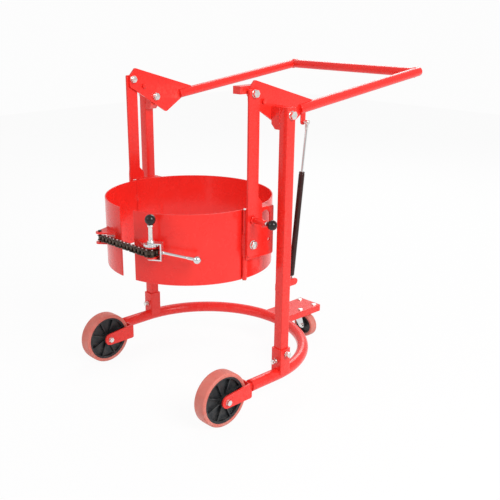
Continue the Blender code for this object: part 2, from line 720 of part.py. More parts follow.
cross_y = handle_rear_y - CROSS_TUBE_SETBACK
cross = rod(handle_radius, -lever_x, lever_x, ALONG_X, (0, cross_y, handle_z(cross_y)), 16)
cross_tube = part("handle_cross_tube", cross, "lever", (0, 0, 0), red_paint)
for side, sign in (("left", 1), ("right", -1)):
    combine(cross_tube, cutter("handle_space_" + side, handle_tube(handle_radius + CLEAR, sign, 0.01)))

hang_length = link_outer - lever_inner + 2 * CLEAR
bolt_pair("hang_bolt", bolt(HANG_BOLT_DIAMETER / 2, hang_length, 0.022, 0.009, 0.008),
          "lever", link_outer + CLEAR, 0, HANG_Z)
stop_length = LEVER_WALL + 2 * CLEAR
bolt_pair("link_stop_bolt", bolt(STOP_BOLT_DIAMETER / 2, stop_length, 0.015, 0.006, 0.006, 0.0015),
          "lever", lever_outer + CLEAR, STOP_BOLT_Y, stop_z)

# Hanging links
link_top_z = HANG_Z + LINK_TOP
waist_z = TRUNNION_Z + LINK_WAIST
foot_top_z = TRUNNION_Z + LINK_FOOT_TOP
foot_bottom_z = TRUNNION_Z + LINK_FOOT_BOTTOM
link_edge = rounded([(LINK_HALF_WIDTH, link_top_z), (-LINK_HALF_WIDTH, link_top_z),
                     (-LINK_HALF_WIDTH, waist_z), (-LINK_FOOT_FRONT, foot_top_z),
                     (-LINK_FOOT_FRONT, foot_bottom_z), (LINK_FOOT_REAR, foot_bottom_z),
                     (LINK_FOOT_REAR, foot_top_z), (LINK_HALF_WIDTH, waist_z)],
                    [0.004, 0.004, 0, 0, 0.012, 0.012, 0.004, 0], 3)
trunnion_hole = circle((0, TRUNNION_Z), TRUNNION_DIAMETER / 2 + CLEAR)
hang_hole = circle((0, HANG_Z), HANG_BOLT_DIAMETER / 2 + CLEAR)
index_hole = INDEX_PIN_DIAMETER / 2 + CLEAR
index_z = TRUNNION_Z + INDEX_RADIUS
left_holes = [hang_hole, trunnion_hole, circle((0, index_z), index_hole, 12)]
part("link_left", plate_mesh([link_edge] + left_holes, link_inner, link_outer, "X"),
     "hanger", (0, 0, 0), red_paint)
part("link_right", mirrored(plate_mesh([link_edge, hang_hole, trunnion_hole], link_inner, link_outer, "X")),
     "hanger", (0, 0, 0), red_paint)


def nut(hole, flats, height, washer_radius, washer=0.002):
    """A washer and a nut along +Z from z = 0, with a plain bore."""
    shapes = [rod(washer_radius, 0, washer, sides=16),
              rod(across(flats), washer - 0.0002, washer + height, sides=6)]
    return united(shapes, [rod(hole, -washer, 2 * washer + height, sides=16)])


trunnion_nut = nut(TRUNNION_DIAMETER / 2 + CLEAR, 0.024, 0.009, 0.0150)
for side, sign in (("left", 1), ("right", -1)):
    part("trunnion_nut_" + side, moved(trunnion_nut, turn=ALONG_X if sign > 0 else ALONG_X.inverted()),
         "hanger", (sign * (link_outer + CLEAR), 0, TRUNNION_Z), zinc)

# Index plunger: a housing on the left link and a pin that slides through it
index_place = (link_outer, 0, index_z)
housing = united([rod(INDEX_HOUSING_DIAMETER / 2, CLEAR, INDEX_HOUSING_LENGTH),
                  rod(INDEX_HOUSING_DIAMETER * 0.7, CLEAR, INDEX_FLANGE)],
                 [rod(index_hole, -WELD, INDEX_HOUSING_LENGTH + WELD)])
part("index_housing", moved(housing, turn=ALONG_X), "hanger", index_place, zinc)
knob_x = INDEX_HOUSING_LENGTH + INDEX_TRAVEL + INDEX_KNOB_DIAMETER / 2 + INDEX_KNOB_GAP
index_pin = united([rod(INDEX_PIN_DIAMETER / 2, CLEAR - LINK_WALL, knob_x),
                    ball(INDEX_KNOB_DIAMETER / 2, (0, 0, knob_x))])
part("index_pin", moved(index_pin, turn=ALONG_X), "index_pin", index_place, black_plastic)

# Clamp: a saddle and two wings hinged to it
band_low = band_z - BAND_HEIGHT / 2
band_high = band_z + BAND_HEIGHT / 2
knuckle = (BAND_HEIGHT - 2 * RUN) / 3
wing_low = band_low + knuckle + RUN
wing_high = band_high - knuckle - RUN
barrel_radius = HINGE_BARREL_DIAMETER / 2
pin_hole = HINGE_PIN_DIAMETER / 2 + CLEAR


def band(start, stop, steps):
    """A length of the clamp's band, the angles in degrees from +X."""
    edge = arc((0, 0), band_out, start, stop, steps) + arc((0, 0), band_in, stop, start, steps)
    return plate_mesh([edge], band_low, band_high)


def at_hinge(radius, low, high, sign):
    return rod(radius, low, high, ALONG_Z, (sign * hinge_x, HINGE_Y, 0), 12)


saddle_end = math.degrees(math.asin((HINGE_Y + 0.001) / band_out))
saddle_shapes = [band(saddle_end, 180 - saddle_end, 32)]
saddle_cuts = []
for sign in (1, -1):
    saddle_shapes += [at_hinge(barrel_radius, band_low, wing_low - RUN, sign),
                      at_hinge(barrel_radius, wing_high + RUN, band_high, sign)]
    saddle_cuts += [at_hinge(barrel_radius + RUN, wing_low - RUN, wing_high + RUN, sign),
                    at_hinge(pin_hole, band_low - 0.01, band_high + 0.01, sign)]
part("saddle", united(saddle_shapes, saddle_cuts), "clamp", (0, 0, 0), red_paint)

wing_start = math.degrees(math.asin((HINGE_Y - 0.001) / band_out))
for side, sign, gap in (("left", 1, WING_GAP_LEFT), ("right", -1, WING_GAP_RIGHT)):
    shapes = [band(gap - 90, wing_start, 15), at_hinge(barrel_radius, wing_low, wing_high, 1)]
    cuts = [at_hinge(barrel_radius + RUN, band_low - 0.01, wing_low, 1),
            at_hinge(barrel_radius + RUN, wing_high, band_high + 0.01, 1),
            at_hinge(pin_hole, band_low - 0.01, band_high + 0.01, 1)]
    part("wing_" + side, mirrored(united(shapes, cuts), sign), side + "_wing", (0, 0, 0), red_paint)
    pin_head = HINGE_PIN_HEAD_DIAMETER / 2
    pin = united([rod(HINGE_PIN_DIAMETER / 2, band_low - HINGE_PIN_HEAD / 2, band_high + HINGE_PIN_HEAD / 2),
                  rod(pin_head, band_low - CLEAR - HINGE_PIN_HEAD, band_low - CLEAR),
                  rod(pin_head, band_high + CLEAR, band_high + CLEAR + HINGE_PIN_HEAD)])
    part("hinge_pin_" + side, pin, "clamp", (sign * hinge_x, HINGE_Y, 0), zinc)

# Trunnion brackets, whose plates carry the index holes
bracket_rear_y = INDEX_RADIUS + BRACKET_MARGIN_REAR
flange_rear_y = bracket_rear_y - FLANGE_SETBACK
bracket_top_z = index_z + BRACKET_MARGIN_TOP
bracket_bottom_z = TRUNNION_Z + BRACKET_BOTTOM
bracket_edge = rounded([(bracket_rear_y, bracket_top_z), (BRACKET_FRONT_Y, bracket_top_z),
                        (BRACKET_FRONT_Y, bracket_bottom_z), (bracket_rear_y, bracket_bottom_z)],
                       [BRACKET_WALL] * 4)
window_y = INDEX_RADIUS - WINDOW_SETBACK
window_z = index_z - WINDOW_DROP
window = [(window_y + WINDOW_HALF_WIDTH, window_z - WINDOW_HEIGHT)]
window += arc((window_y, window_z), WINDOW_HALF_WIDTH, 0, 180, 6)
window.append((window_y - WINDOW_HALF_WIDTH, window_z - WINDOW_HEIGHT))
flange_root = math.sqrt(band_out ** 2 - flange_rear_y ** 2) - FLANGE_OVERLAP
bracket_holes = [circle((0, index_z), index_hole, 12), circle((INDEX_RADIUS, TRUNNION_Z), index_hole, 12)]
band_space = rod(band_out + CLEAR, 0, 1, sides=120)
for side, sign in (("left", 1), ("right", -1)):
    flanges = [block((flange_root, 0, low), (bracket_inner + WELD, flange_rear_y, low + BRACKET_WALL))
               for low in (bracket_bottom_z, bracket_top_z - BRACKET_WALL)]
    shapes = [plate_mesh([bracket_edge, window] + bracket_holes, bracket_inner, bracket_outer, "X")] + flanges
    shapes.append(rod(TRUNNION_DIAMETER / 2, bracket_inner + WELD, link_outer + TRUNNION_REACH,
                      ALONG_X, (0, 0, TRUNNION_Z), 16))
    part("trunnion_bracket_" + side, mirrored(united(shapes, [band_space.copy()]), sign),
         "clamp", (0, 0, 0), red_paint)


# Chain lugs
def lug(name, owner, angle, base_from, base_to, nose, hole):
    """Two plates on a strip welded to the band, with a hole on the closure's axis."""
    centre = at_front_angle(closure_radius, angle)
    foot = band_out + CLEAR
    edge = arc((0, 0), foot, base_from - 90, base_to - 90, 4)
    edge += arc(centre.xy, nose, angle - 10, angle - 170, 7)
    top = LUG_HALF_GAP + LUG_WALL
    plates = [plate_mesh([edge, circle(centre.xy, hole)], chain_z + low, chain_z + low + LUG_WALL)
              for low in (LUG_HALF_GAP, -top)]
    strip = arc((0, 0), foot, base_from - 89.5, base_to - 90.5, 4)
    strip += arc((0, 0), foot + LUG_STRIP_WALL, base_to - 90.5, base_from - 89.5, 4)
    plates.append(plate_mesh([strip], chain_z - LUG_HALF_GAP - WELD, chain_z + LUG_HALF_GAP + WELD))
    part(name, united(plates), owner, (0, 0, 0), red_paint)


lug("chain_lug_left", "left_wing", SPROCKET_ANGLE, 15, 34, LUG_NOSE_LEFT, SHAFT_DIAMETER / 2 + CLEAR)
lug("chain_lug_right", "right_wing", anchor_angle, anchor_angle - 9, anchor_angle + 9, LUG_NOSE_RIGHT,
    CHAIN_PIN_DIAMETER / 2 + CLEAR)
lug_top = LUG_HALF_GAP + LUG_WALL
anchor_pin = united([rod(CHAIN_PIN_DIAMETER / 2, -lug_top - 0.003, lug_top + 0.002, sides=12),
                     rod(ANCHOR_HEAD_DIAMETER / 2, lug_top + CLEAR, lug_top + 0.005, sides=16)])
part("chain_anchor_pin", anchor_pin, "right_wing", anchor_place, black_plastic)

# Chain: links along +X from the first roller, each section as one piece
inner_low = CHAIN_INNER_WIDTH / 2
outer_low = inner_low + CHAIN_PLATE_WALL + CLEAR
outer_high = outer_low + CHAIN_PLATE_WALL


def link_plate(start, stop, low, high):
    """A plate with round ends between two rollers."""
    run = Vector(stop) - Vector(start)
    bearing = math.degrees(math.atan2(run.y, run.x))
    edge = arc(stop, CHAIN_PLATE_RADIUS, bearing - 90, bearing + 90, 3)
    edge += arc(start, CHAIN_PLATE_RADIUS, bearing + 90, bearing + 270, 3)
    return plate_mesh([edge], low, high)


def chain(rollers, first, solid_end=False, bored_start=False, open_start=False):
    """Links through the rollers, inner for an even number and outer for an odd one."""
    shapes = []
    cuts = []
    for k, (start, stop) in enumerate(zip(rollers, rollers[1:])):
        inner = (first + k) % 2 == 0
        low, high = (inner_low, inner_low + CHAIN_PLATE_WALL) if inner else (outer_low, outer_high)
        shapes += [link_plate(start, stop, low, high), link_plate(start, stop, -high, -low)]
    for k, roller in enumerate(rollers):
        at_start = k == 0
        at_end = k == len(rollers) - 1
        if at_start and open_start:
            for level in (outer_high, -outer_high - CHAIN_PIN_HEAD):
                shapes.append(rod(CHAIN_PIN_DIAMETER / 2, level - 0.0005, level + CHAIN_PIN_HEAD + 0.0005,
                                  centre=(*roller, 0), sides=8))
            continue
        bush = not (at_end and (first + k - 1) % 2 == 1)
        if bush:
            shapes.append(rod(CHAIN_ROLLER_DIAMETER / 2, -inner_low - 0.001, inner_low + 0.001,
                              centre=(*roller, 0), sides=8))
        if at_start and bored_start:
            cuts.append(rod(CHAIN_PIN_DIAMETER / 2 + CLEAR, -0.02, 0.02, centre=(*roller, 0), sides=8))
        elif not (at_end and solid_end):
            reach = outer_high + CHAIN_PIN_HEAD
            shapes.append(rod(CHAIN_PIN_DIAMETER / 2, -reach, reach, centre=(*roller, 0), sides=6))
    return united(shapes, cuts, "MANIFOLD")


span = [(k * CHAIN_PITCH, 0) for k in range(CHAIN_SPAN + 1)]
span_turn = (0, 0, span_bearing)
span_way = Vector((math.cos(span_bearing), math.sin(span_bearing), 0))
free_links = CHAIN_SPAN - 2
second_place = anchor_place + span_way * CHAIN_BREAK * CHAIN_PITCH
body("chain_second", second_place, "chain_first")
part("chain_section_1", chain(span[:CHAIN_BREAK + 1], 0, bored_start=True), "chain_first",
     anchor_place, chain_steel, span_turn)
second_span = span[:free_links - CHAIN_BREAK + 1]
part("chain_section_2", chain(second_span, CHAIN_BREAK, solid_end=True, bored_start=True), "chain_second",
     second_place, chain_steel, span_turn)

# the last links run from the free ones to the sprocket's tangent point and on round its teeth
tooth_turn = 360 / SPROCKET_TEETH
wound = [(k * CHAIN_PITCH, -sprocket_radius) for k in (-2, -1)]
wound += arc((0, 0), sprocket_radius, -90, -90 + 2 * tooth_turn, 2)
part("chain_wound_end", chain(wound, free_links, open_start=True), "sprocket", sprocket_place,
     chain_steel, span_turn)

# Sprocket, its shaft and the ratchet wheel above the upper lug turn as one
teeth = [rod(CHAIN_ROLLER_DIAMETER / 2 + 0.0004, -0.01, 0.01, centre=(x, y, 0), sides=8)
         for x, y in arc((0, 0), sprocket_radius, -90, 210, SPROCKET_TEETH - 1)]
wheel_edge = []
for k in range(RATCHET_TEETH):
    a = 360 * k / RATCHET_TEETH
    wheel_edge += arc((0, 0), RATCHET_WHEEL_RADIUS, a, a + 6, 1)
    wheel_edge += arc((0, 0), 0.86 * RATCHET_WHEEL_RADIUS, a + 12, a + 24, 1)
shaft_top = lug_top + RATCHET_WHEEL_WALL
sprocket_blank = rod(sprocket_radius + TOOTH_HEIGHT, -SPROCKET_WIDTH / 2, SPROCKET_WIDTH / 2, sides=24)
sprocket = united([sprocket_blank], teeth)
shapes = [sprocket, rod(SHAFT_DIAMETER / 2, -lug_top - YOKE_WALL - 0.004, shaft_top - WELD, sides=12),
          plate_mesh([wheel_edge], lug_top + CLEAR, shaft_top)]
part("sprocket", united(shapes), "sprocket", sprocket_place, chain_steel, span_turn)

# Ratchet handle: a yoke round the lugs, with the rod and its ball
yoke_top = shaft_top + CLEAR
yoke_bottom = -lug_top - CLEAR - YOKE_WALL
yoke_edge = arc((0, 0), YOKE_NOSE_RADIUS, 90, 270, 6)
yoke_edge += [(YOKE_REACH, -YOKE_HALF_WIDTH), (YOKE_REACH, YOKE_HALF_WIDTH)]
yoke_hole = circle((0, 0), SHAFT_DIAMETER / 2 + CLEAR)
yoke = united([plate_mesh([yoke_edge, yoke_hole], yoke_top, yoke_top + YOKE_WALL),
               plate_mesh([yoke_edge, yoke_hole], yoke_bottom, yoke_bottom + YOKE_WALL),
               block((YOKE_REACH - YOKE_WALL, -YOKE_HALF_WIDTH + 0.0002, yoke_bottom + 0.001),
                     (YOKE_REACH + 0.0004, YOKE_HALF_WIDTH - 0.0002, yoke_top + YOKE_WALL - 0.001))])
handle_turn = (0, 0, math.radians(RATCHET_HANDLE_ANGLE))
part("ratchet_yoke", yoke, "ratchet_handle", sprocket_place, zinc, handle_turn)
rod_start = Vector((YOKE_REACH + 0.001, 0, 0))
ball_place = Vector((RATCHET_HANDLE_LENGTH, 0, -RATCHET_HANDLE_DROP))
drop = math.atan2(RATCHET_HANDLE_DROP, RATCHET_HANDLE_LENGTH - YOKE_REACH)
handle_rod = rod(RATCHET_ROD_DIAMETER / 2, 0.001, (ball_place - rod_start).length,
                 Matrix.Rotation(math.pi / 2 + drop, 4, "Y"), rod_start, 16)
handle = united([handle_rod, ball(RATCHET_BALL_DIAMETER / 2, ball_place)])
part("ratchet_handle", handle, "ratchet_handle", sprocket_place, chrome, handle_turn)

lift_seat = yoke_top + YOKE_WALL + CLEAR
lift_pin = united([rod(SHAFT_DIAMETER / 2, shaft_top + CLEAR, lift_seat + 0.002),
                   rod(LIFT_COLLAR_DIAMETER / 2, lift_seat, lift_seat + LIFT_COLLAR_HEIGHT),
                   rod(LIFT_ROD_DIAMETER / 2, lift_seat + LIFT_COLLAR_HEIGHT - WELD, LIFT_KNOB_Z),
                   ball(LIFT_KNOB_DIAMETER / 2, (0, 0, LIFT_KNOB_Z))])
part("lift_pin", lift_pin, "lift_pin", sprocket_place, black_plastic)


# Wheels
def wheel_core(radius, half_width, hub_radius, hub_half, hole, rim, web, ribs, steps):
    """Rim, web and hub as one turned shape, with ribs across the web."""
    inner = radius - rim
    half = [(hole, hub_half), (hub_radius, hub_half), (hub_radius, web), (inner, web),
            (inner, half_width), (radius, half_width)]
    shapes = [turned_mesh(half + [(x, -z) for x, z in reversed(half)], steps)]
    for k in range(ribs):
        a = 2 * math.pi * (k + 0.5) / ribs
        rib = block((hub_radius - 2 * WELD, -RIB_WALL / 2, RIB_STEP - half_width),
                    (inner + 2 * WELD, RIB_WALL / 2, half_width - RIB_STEP))
        shapes.append(moved(rib, turn=Matrix.Rotation(a, 4, "Z")))
    return united(shapes)


def tyre(outer, inner, half_width, steps):
    edge = outer - half_width * 0.22
    profile = [(inner, half_width - 0.001), (edge, half_width), (outer, half_width * 0.55)]
    profile += [(x, -z) for x, z in reversed(profile)]
    return turned_mesh(profile, steps, 50)


core_radius = wheel_radius - TYRE_THICKNESS
front_tyre = moved(tyre(wheel_radius, core_radius, WHEEL_WIDTH / 2, 40), turn=ALONG_X)
front_core = moved(wheel_core(core_radius - CLEAR, WHEEL_WIDTH / 2 - 0.002, HUB_DIAMETER / 2, inner_cheek - RUN,
                              AXLE_DIAMETER / 2 + CLEAR, RIM_WALL, WEB_WALL / 2, 8, 20), turn=ALONG_X)
cheek_outer = inner_cheek + CHEEK_WALL + CLEAR
front_axle = moved(bolt(AXLE_DIAMETER / 2, 2 * cheek_outer, 0.018, 0.0075, 0.0075), (cheek_outer, 0, 0),
                   ALONG_X.inverted())
for side, sign in (("left", 1), ("right", -1)):
    place = (sign * wheel_x, WHEEL_Y, axle_z)
    part("front_tyre_" + side, front_tyre, side + "_wheel", place, polyurethane)
    part("front_core_" + side, front_core, side + "_wheel", place, black_plastic)
    part("front_axle_" + side, mirrored(front_axle, sign), "root", place, zinc)

# Caster deck: a folded plate behind the base tube
half_deck = DECK_WIDTH / 2
deck_low = deck_top_z - DECK_HEIGHT
deck_edge = [(half_deck, deck_low), (half_deck, deck_top_z), (-half_deck, deck_top_z), (-half_deck, deck_low),
             (DECK_WALL - half_deck, deck_low), (DECK_WALL - half_deck, deck_top_z - DECK_WALL),
             (half_deck - DECK_WALL, deck_top_z - DECK_WALL), (half_deck - DECK_WALL, deck_low)]
bolt_places = [(x, caster_y + y) for x in (CASTER_BOLT_X, -CASTER_BOLT_X)
               for y in (CASTER_BOLT_Y, -CASTER_BOLT_Y)]
bolt_radius = CASTER_BOLT_DIAMETER / 2
bolt_head = CASTER_BOLT_HEAD_DIAMETER / 2
deck_holes = [rod(bolt_radius + CLEAR, deck_low, deck_top_z + WELD, centre=(x, y, 0), sides=12)
              for x, y in bolt_places]
deck = united([plate_mesh([deck_edge], -deck_rear_y, -deck_front_y, "Y")], deck_holes)
combine(part("caster_deck", deck, "root", (0, 0, 0), red_paint), base_tube_space)

# Caster: its plate under the deck, and the fork that swivels in it
plate_top = deck_top_z - DECK_WALL - CLEAR
plate_low = plate_top - CASTER_PLATE_WALL
head_low = plate_low - 0.008
crown_low = CASTER_WHEEL_DIAMETER + 0.001
kingpin = KINGPIN_DIAMETER / 2
half_plate = half_deck - DECK_WALL - 0.001
half_length = CASTER_PLATE_LENGTH / 2
caster_shapes = [block((-half_plate, -half_length, plate_low), (half_plate, half_length, plate_top)),
                 rod(0.025, head_low, plate_low + WELD, sides=16)]
for x, y in bolt_places:
    middle = (x, y - caster_y, 0)
    caster_shapes += [rod(bolt_radius, plate_top - WELD, deck_top_z + 2 * WELD, centre=middle, sides=8),
                      rod(bolt_head, deck_top_z + CLEAR, deck_top_z + 0.005, centre=middle, sides=8)]
kingpin_space = rod(kingpin + RUN, head_low - 0.01, plate_top - 0.0015)
part("caster_plate", united(caster_shapes, [kingpin_space]), "root", (0, caster_y, 0), zinc)

leg_inner = CASTER_WHEEL_WIDTH / 2 + 0.002
leg_outer = leg_inner + CASTER_LEG_WALL
axle_height = CASTER_WHEEL_DIAMETER / 2
crown_top = head_low - RUN
leg_edge = rounded([(-0.020, crown_low + 0.003), (-0.020, crown_low - 0.012),
                    (CASTER_TRAIL - 0.014, axle_height - 0.012), (CASTER_TRAIL + 0.014, axle_height - 0.012),
                    (0.026, crown_low + 0.003)], [0, 0.004, 0.011, 0.011, 0], 4)
caster_bore = CASTER_AXLE_DIAMETER / 2 + CLEAR
leg_hole = circle((CASTER_TRAIL, axle_height), caster_bore)
fork_shapes = [block((-0.0205, -leg_outer, crown_low), (0.0255, leg_outer, crown_low + CASTER_LEG_WALL)),
               rod(0.022, crown_low + 2 * WELD, crown_top, sides=16),
               rod(kingpin, crown_top - WELD, plate_top - 2 * WELD),
               plate_mesh([leg_edge, leg_hole], leg_inner, leg_outer, "Y"),
               plate_mesh([leg_edge, leg_hole], -leg_outer, -leg_inner, "Y")]
part("caster_fork", united(fork_shapes), "caster_swivel", (0, caster_y, 0), zinc)
caster_core_radius = axle_height - CASTER_TYRE_THICKNESS
part("caster_tyre", moved(tyre(axle_height, caster_core_radius, CASTER_WHEEL_WIDTH / 2, 28), turn=ALONG_Y),
     "caster_wheel", caster_axle, polyurethane)
part("caster_core", moved(wheel_core(caster_core_radius - CLEAR, CASTER_WHEEL_WIDTH / 2 - 0.001, 0.010,
                                     leg_inner - RUN, caster_bore, 0.005, 0.003, 0, 20), turn=ALONG_Y),
     "caster_wheel", caster_axle, black_plastic)
caster_bolt = bolt(CASTER_AXLE_DIAMETER / 2, 2 * (leg_outer + CLEAR), 0.013, 0.005, 0.006, 0.0015)
part("caster_axle", moved(caster_bolt, (0, -leg_outer - CLEAR, 0), ALONG_Y), "caster_swivel",
     caster_axle, zinc)

# Gas spring between the left post and the left handle tube
gas_run = Vector((0, gas_upper[0] - gas_lower[0], gas_upper[1] - gas_lower[1]))
gas_eye = rod(GAS_EYE_DIAMETER / 2, -GAS_EYE_WIDTH / 2, GAS_EYE_WIDTH / 2, ALONG_X, sides=12)
gas_stud = GAS_STUD_DIAMETER / 2
stud_root = GAS_EYE_WIDTH / 2 - WELD
gas_turn = (-math.atan2(gas_run.y, gas_run.z), 0, 0)
lug_gap = post_inner - GAS_LUG_WALL - gas_x - CLEAR
upper_gap = gas_x - lever_x - GAS_LUG_WALL / 2 - CLEAR
rod_end = GAS_CYLINDER_LENGTH * 0.55
cylinder = united([rod(GAS_CYLINDER_DIAMETER / 2, GAS_FITTING, GAS_FITTING + GAS_CYLINDER_LENGTH),
                   rod(GAS_CYLINDER_DIAMETER / 4, 0, GAS_FITTING + WELD, sides=12), gas_eye.copy(),
                   rod(gas_stud, stud_root, lug_gap, ALONG_X, sides=12)],
                  [rod(GAS_ROD_DIAMETER / 2 + CLEAR, rod_end - ROD_END_GAP, gas_run.length, sides=16)])
part("gas_cylinder", cylinder, "gas_cylinder", (gas_x, *gas_lower), cylinder_paint, gas_turn)
gas_rod = united([rod(GAS_ROD_DIAMETER / 2, rod_end - gas_run.length, 0, sides=16),
                  gas_eye, rod(gas_stud, -upper_gap, -stud_root, ALONG_X, sides=12)])
part("gas_rod", gas_rod, "gas_rod", (gas_x, *gas_upper), chrome, gas_turn)

# The origin is on the ground, in the middle of the whole part's length and width
left_reach = link_outer + knob_x + INDEX_KNOB_DIAMETER / 2
right_reach = post_outer + SOCKET_WALL + SET_SCREW_REACH
front_reach = LUG_NOSE_RIGHT - anchor_axis.y
rear_reach = handle_rear_y + handle_radius * math.sin(handle_slope)
empty_of["root"].location = ((right_reach - left_reach) / 2, (front_reach - rear_reach) / 2, 0)
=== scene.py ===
# Drum lifter, dressed for the camera: round work is computed fine, plates get broken edges,
# and every surface carries a procedural finish. Metres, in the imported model's own frame.
import math

import bmesh
import bpy
import numpy as np
from mathutils import Matrix, Vector


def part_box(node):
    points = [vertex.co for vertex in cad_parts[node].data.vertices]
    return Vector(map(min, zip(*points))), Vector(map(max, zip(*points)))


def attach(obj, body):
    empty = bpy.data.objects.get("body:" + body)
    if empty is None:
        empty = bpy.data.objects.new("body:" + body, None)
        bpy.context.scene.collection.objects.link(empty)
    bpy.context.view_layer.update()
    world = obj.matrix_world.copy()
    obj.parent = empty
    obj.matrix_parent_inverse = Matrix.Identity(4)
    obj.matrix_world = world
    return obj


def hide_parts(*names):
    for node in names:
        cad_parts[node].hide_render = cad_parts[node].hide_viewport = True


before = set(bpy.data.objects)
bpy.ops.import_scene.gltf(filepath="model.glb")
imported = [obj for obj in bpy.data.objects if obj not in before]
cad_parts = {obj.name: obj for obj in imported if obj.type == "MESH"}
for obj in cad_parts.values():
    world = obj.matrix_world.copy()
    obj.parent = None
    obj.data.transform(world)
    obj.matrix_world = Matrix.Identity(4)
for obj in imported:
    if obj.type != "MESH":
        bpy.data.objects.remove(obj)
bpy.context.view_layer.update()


def middleOf(node):
    low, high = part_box(node)
    return np.array((low + high) / 2)


# the clamp's axis stands midway between the hanging links, in line with the trunnion nuts
clampAxis = np.array([middleOf("link_left")[0] + middleOf("link_right")[0],
                      2 * middleOf("trunnion_nut_left")[1], 0]) / 2


def at(x, y, z):
    # a point given from the clamp's axis
    return clampAxis + np.array([x, y, z])


print("frame loaded, clamp axis at", clampAxis.round(4))


# Grids of points become closed shells. A grid is (stations, around, xyz) and each station is a closed loop.
def shell(grid, ringed=False):
    # quads join each loop to the next; a ringed grid joins its last loop to its first,
    # and any other is closed at both ends with a fan to the end loop's middle
    stations, around = grid.shape[:2]
    index = np.arange(stations * around).reshape(stations, around)
    ahead = np.roll(index, -1, 1)
    if ringed:
        quads = np.stack([index, ahead, np.roll(ahead, -1, 0), np.roll(index, -1, 0)], -1)
        points, fans = grid.reshape(-1, 3), np.zeros((0, 3), int)
    else:
        quads = np.stack([index[:-1], ahead[:-1], ahead[1:], index[1:]], -1)
        points = np.vstack([grid.reshape(-1, 3), grid[0].mean(0), grid[-1].mean(0)])
        hub = np.full(around, stations * around)
        fans = np.vstack([np.stack([hub, ahead[0], index[0]], -1),
                          np.stack([hub + 1, index[-1], ahead[-1]], -1)])
    return outward(points, quads.reshape(-1, 4), fans)


def outward(points, quads, fans):
    # the sum of a . (b x c) over all triangles is six times the volume: below zero, the faces turn round
    triangles = np.vstack([quads[:, :3], quads[:, [0, 2, 3]], fans])
    a, b, c = (points[triangles[:, k]] for k in range(3))
    if np.einsum("ij,ij->", a, np.cross(b, c)) < 0:
        return points, quads[:, ::-1], fans[:, ::-1]
    return points, quads, fans


def moved(shells, place=(0, 0, 0), turn=None):
    # turned about the origin, then shifted to the place
    spin = np.eye(3) if turn is None else np.array(turn.to_3x3()).T
    return [(points @ spin + np.array(place, float), quads, fans) for points, quads, fans in shells]


def laid(shells, place, direction):
    # turned so that +Z lies along the direction
    return moved(shells, place, Vector(direction).to_track_quat("Z", "Y").to_matrix())


def mirrored(shells):
    # the same shells on the other side of the clamp's middle plane
    flip, shift = np.array([-1, 1, 1]), np.array([2 * clampAxis[0], 0, 0])
    return [(points * flip + shift, quads[:, ::-1], fans[:, ::-1]) for points, quads, fans in shells]


def turnsOf(around):
    return np.linspace(0, 2 * math.pi, around, endpoint=False)


def arcOf(radius, turn):
    # (r cos a, r sin a), with one radius or one for each turn
    return np.stack([radius * np.cos(turn), radius * np.sin(turn)], -1)


def quarterEase(ease, steps):
    # over a quarter turn a surface draws in by e (1 - sin a) while it runs on by e (1 - cos a)
    turn = np.linspace(0, math.pi / 2, steps + 1)
    return ease * (1 - np.sin(turn)), ease * (1 - np.cos(turn))


def eased(profile, ease=0.0006, steps=3, ringed=False):
    # each corner C becomes the curve (1-t)^2 A + 2t(1-t) C + t^2 B, with A and B a little before and after it
    corner = np.array(profile, float)
    near = []
    for shift in (1, -1):
        way = np.roll(corner, shift, 0) - corner
        length = np.linalg.norm(way, axis=1)[:, None]
        near.append(corner + way * (np.minimum(ease, 0.45 * length) / length))
    t = np.linspace(0, 1, steps + 1)[None, :, None]
    curve = (1 - t) ** 2 * near[0][:, None] + 2 * t * (1 - t) * corner[:, None] + t ** 2 * near[1][:, None]
    if ringed:
        return curve.reshape(-1, 2)
    return np.vstack([corner[:1], curve[1:-1].reshape(-1, 2), corner[-1:]])


def polar(radii, heights, around, ringed=False):
    # x = r cos a, y = r sin a, z = h, with radii by height and turn
    grid = np.empty((len(heights), around, 3))
    grid[..., :2] = arcOf(radii, turnsOf(around))
    grid[..., 2] = heights[:, None]
    return shell(grid, ringed)


def turned(profile, around=36, ringed=False):
    # a profile of (radius, height) carried round +Z
    profile = np.array(profile, float)
    return polar(profile[:, :1], profile[:, 1], around, ringed)


# solid profiles stop just short of the axis
nearAxis = 0.0001


def spindle(rows, ease=0.0008, around=36):
    # a solid turned bar: both ends of its profile run in to the axis
    return turned(eased([(nearAxis, rows[0][1]), *rows, (nearAxis, rows[-1][1])], ease), around)


def roundBar(radius, low, high, ease=0.0006, around=36):
    # a plain cylinder: end disc, wall and end disc in one turned profile
    inner = radius * 0.02
    return turned(eased([(inner, low), (radius, low), (radius, high), (inner, high)], ease), around)


def ringBar(inner, outer, low, high, ease=0.0005, around=36):
    # a ring of rectangular section
    profile = [(inner, low), (outer, low), (outer, high), (inner, high)]
    return turned(eased(profile, ease, 2, True), around, True)


def ball(radius, height=0.0, start=0.03, rows=24, around=40):
    # r = R sin t, h = H - R cos t
    t = np.linspace(start, math.pi - 0.03, rows)
    return turned(np.stack([radius * np.sin(t), height - radius * np.cos(t)], -1), around)


def waysAlong(path):
    # unit tangents
    way = np.gradient(path, axis=0)
    return way / np.linalg.norm(way, axis=1)[:, None]


def tubeShell(centres, ways, radii, upward, around):
    # P(u, v) = C(u) + r(u) (cos v N(u) + sin v B(u))
    side = np.cross(ways, upward)
    side /= np.linalg.norm(side, axis=1)[:, None]
    ring = arcOf(1, turnsOf(around))[None]
    loops = ring[..., :1] * side[:, None] + ring[..., 1:] * np.cross(side, ways)[:, None]
    return shell(centres[:, None] + radii[:, None, None] * loops)


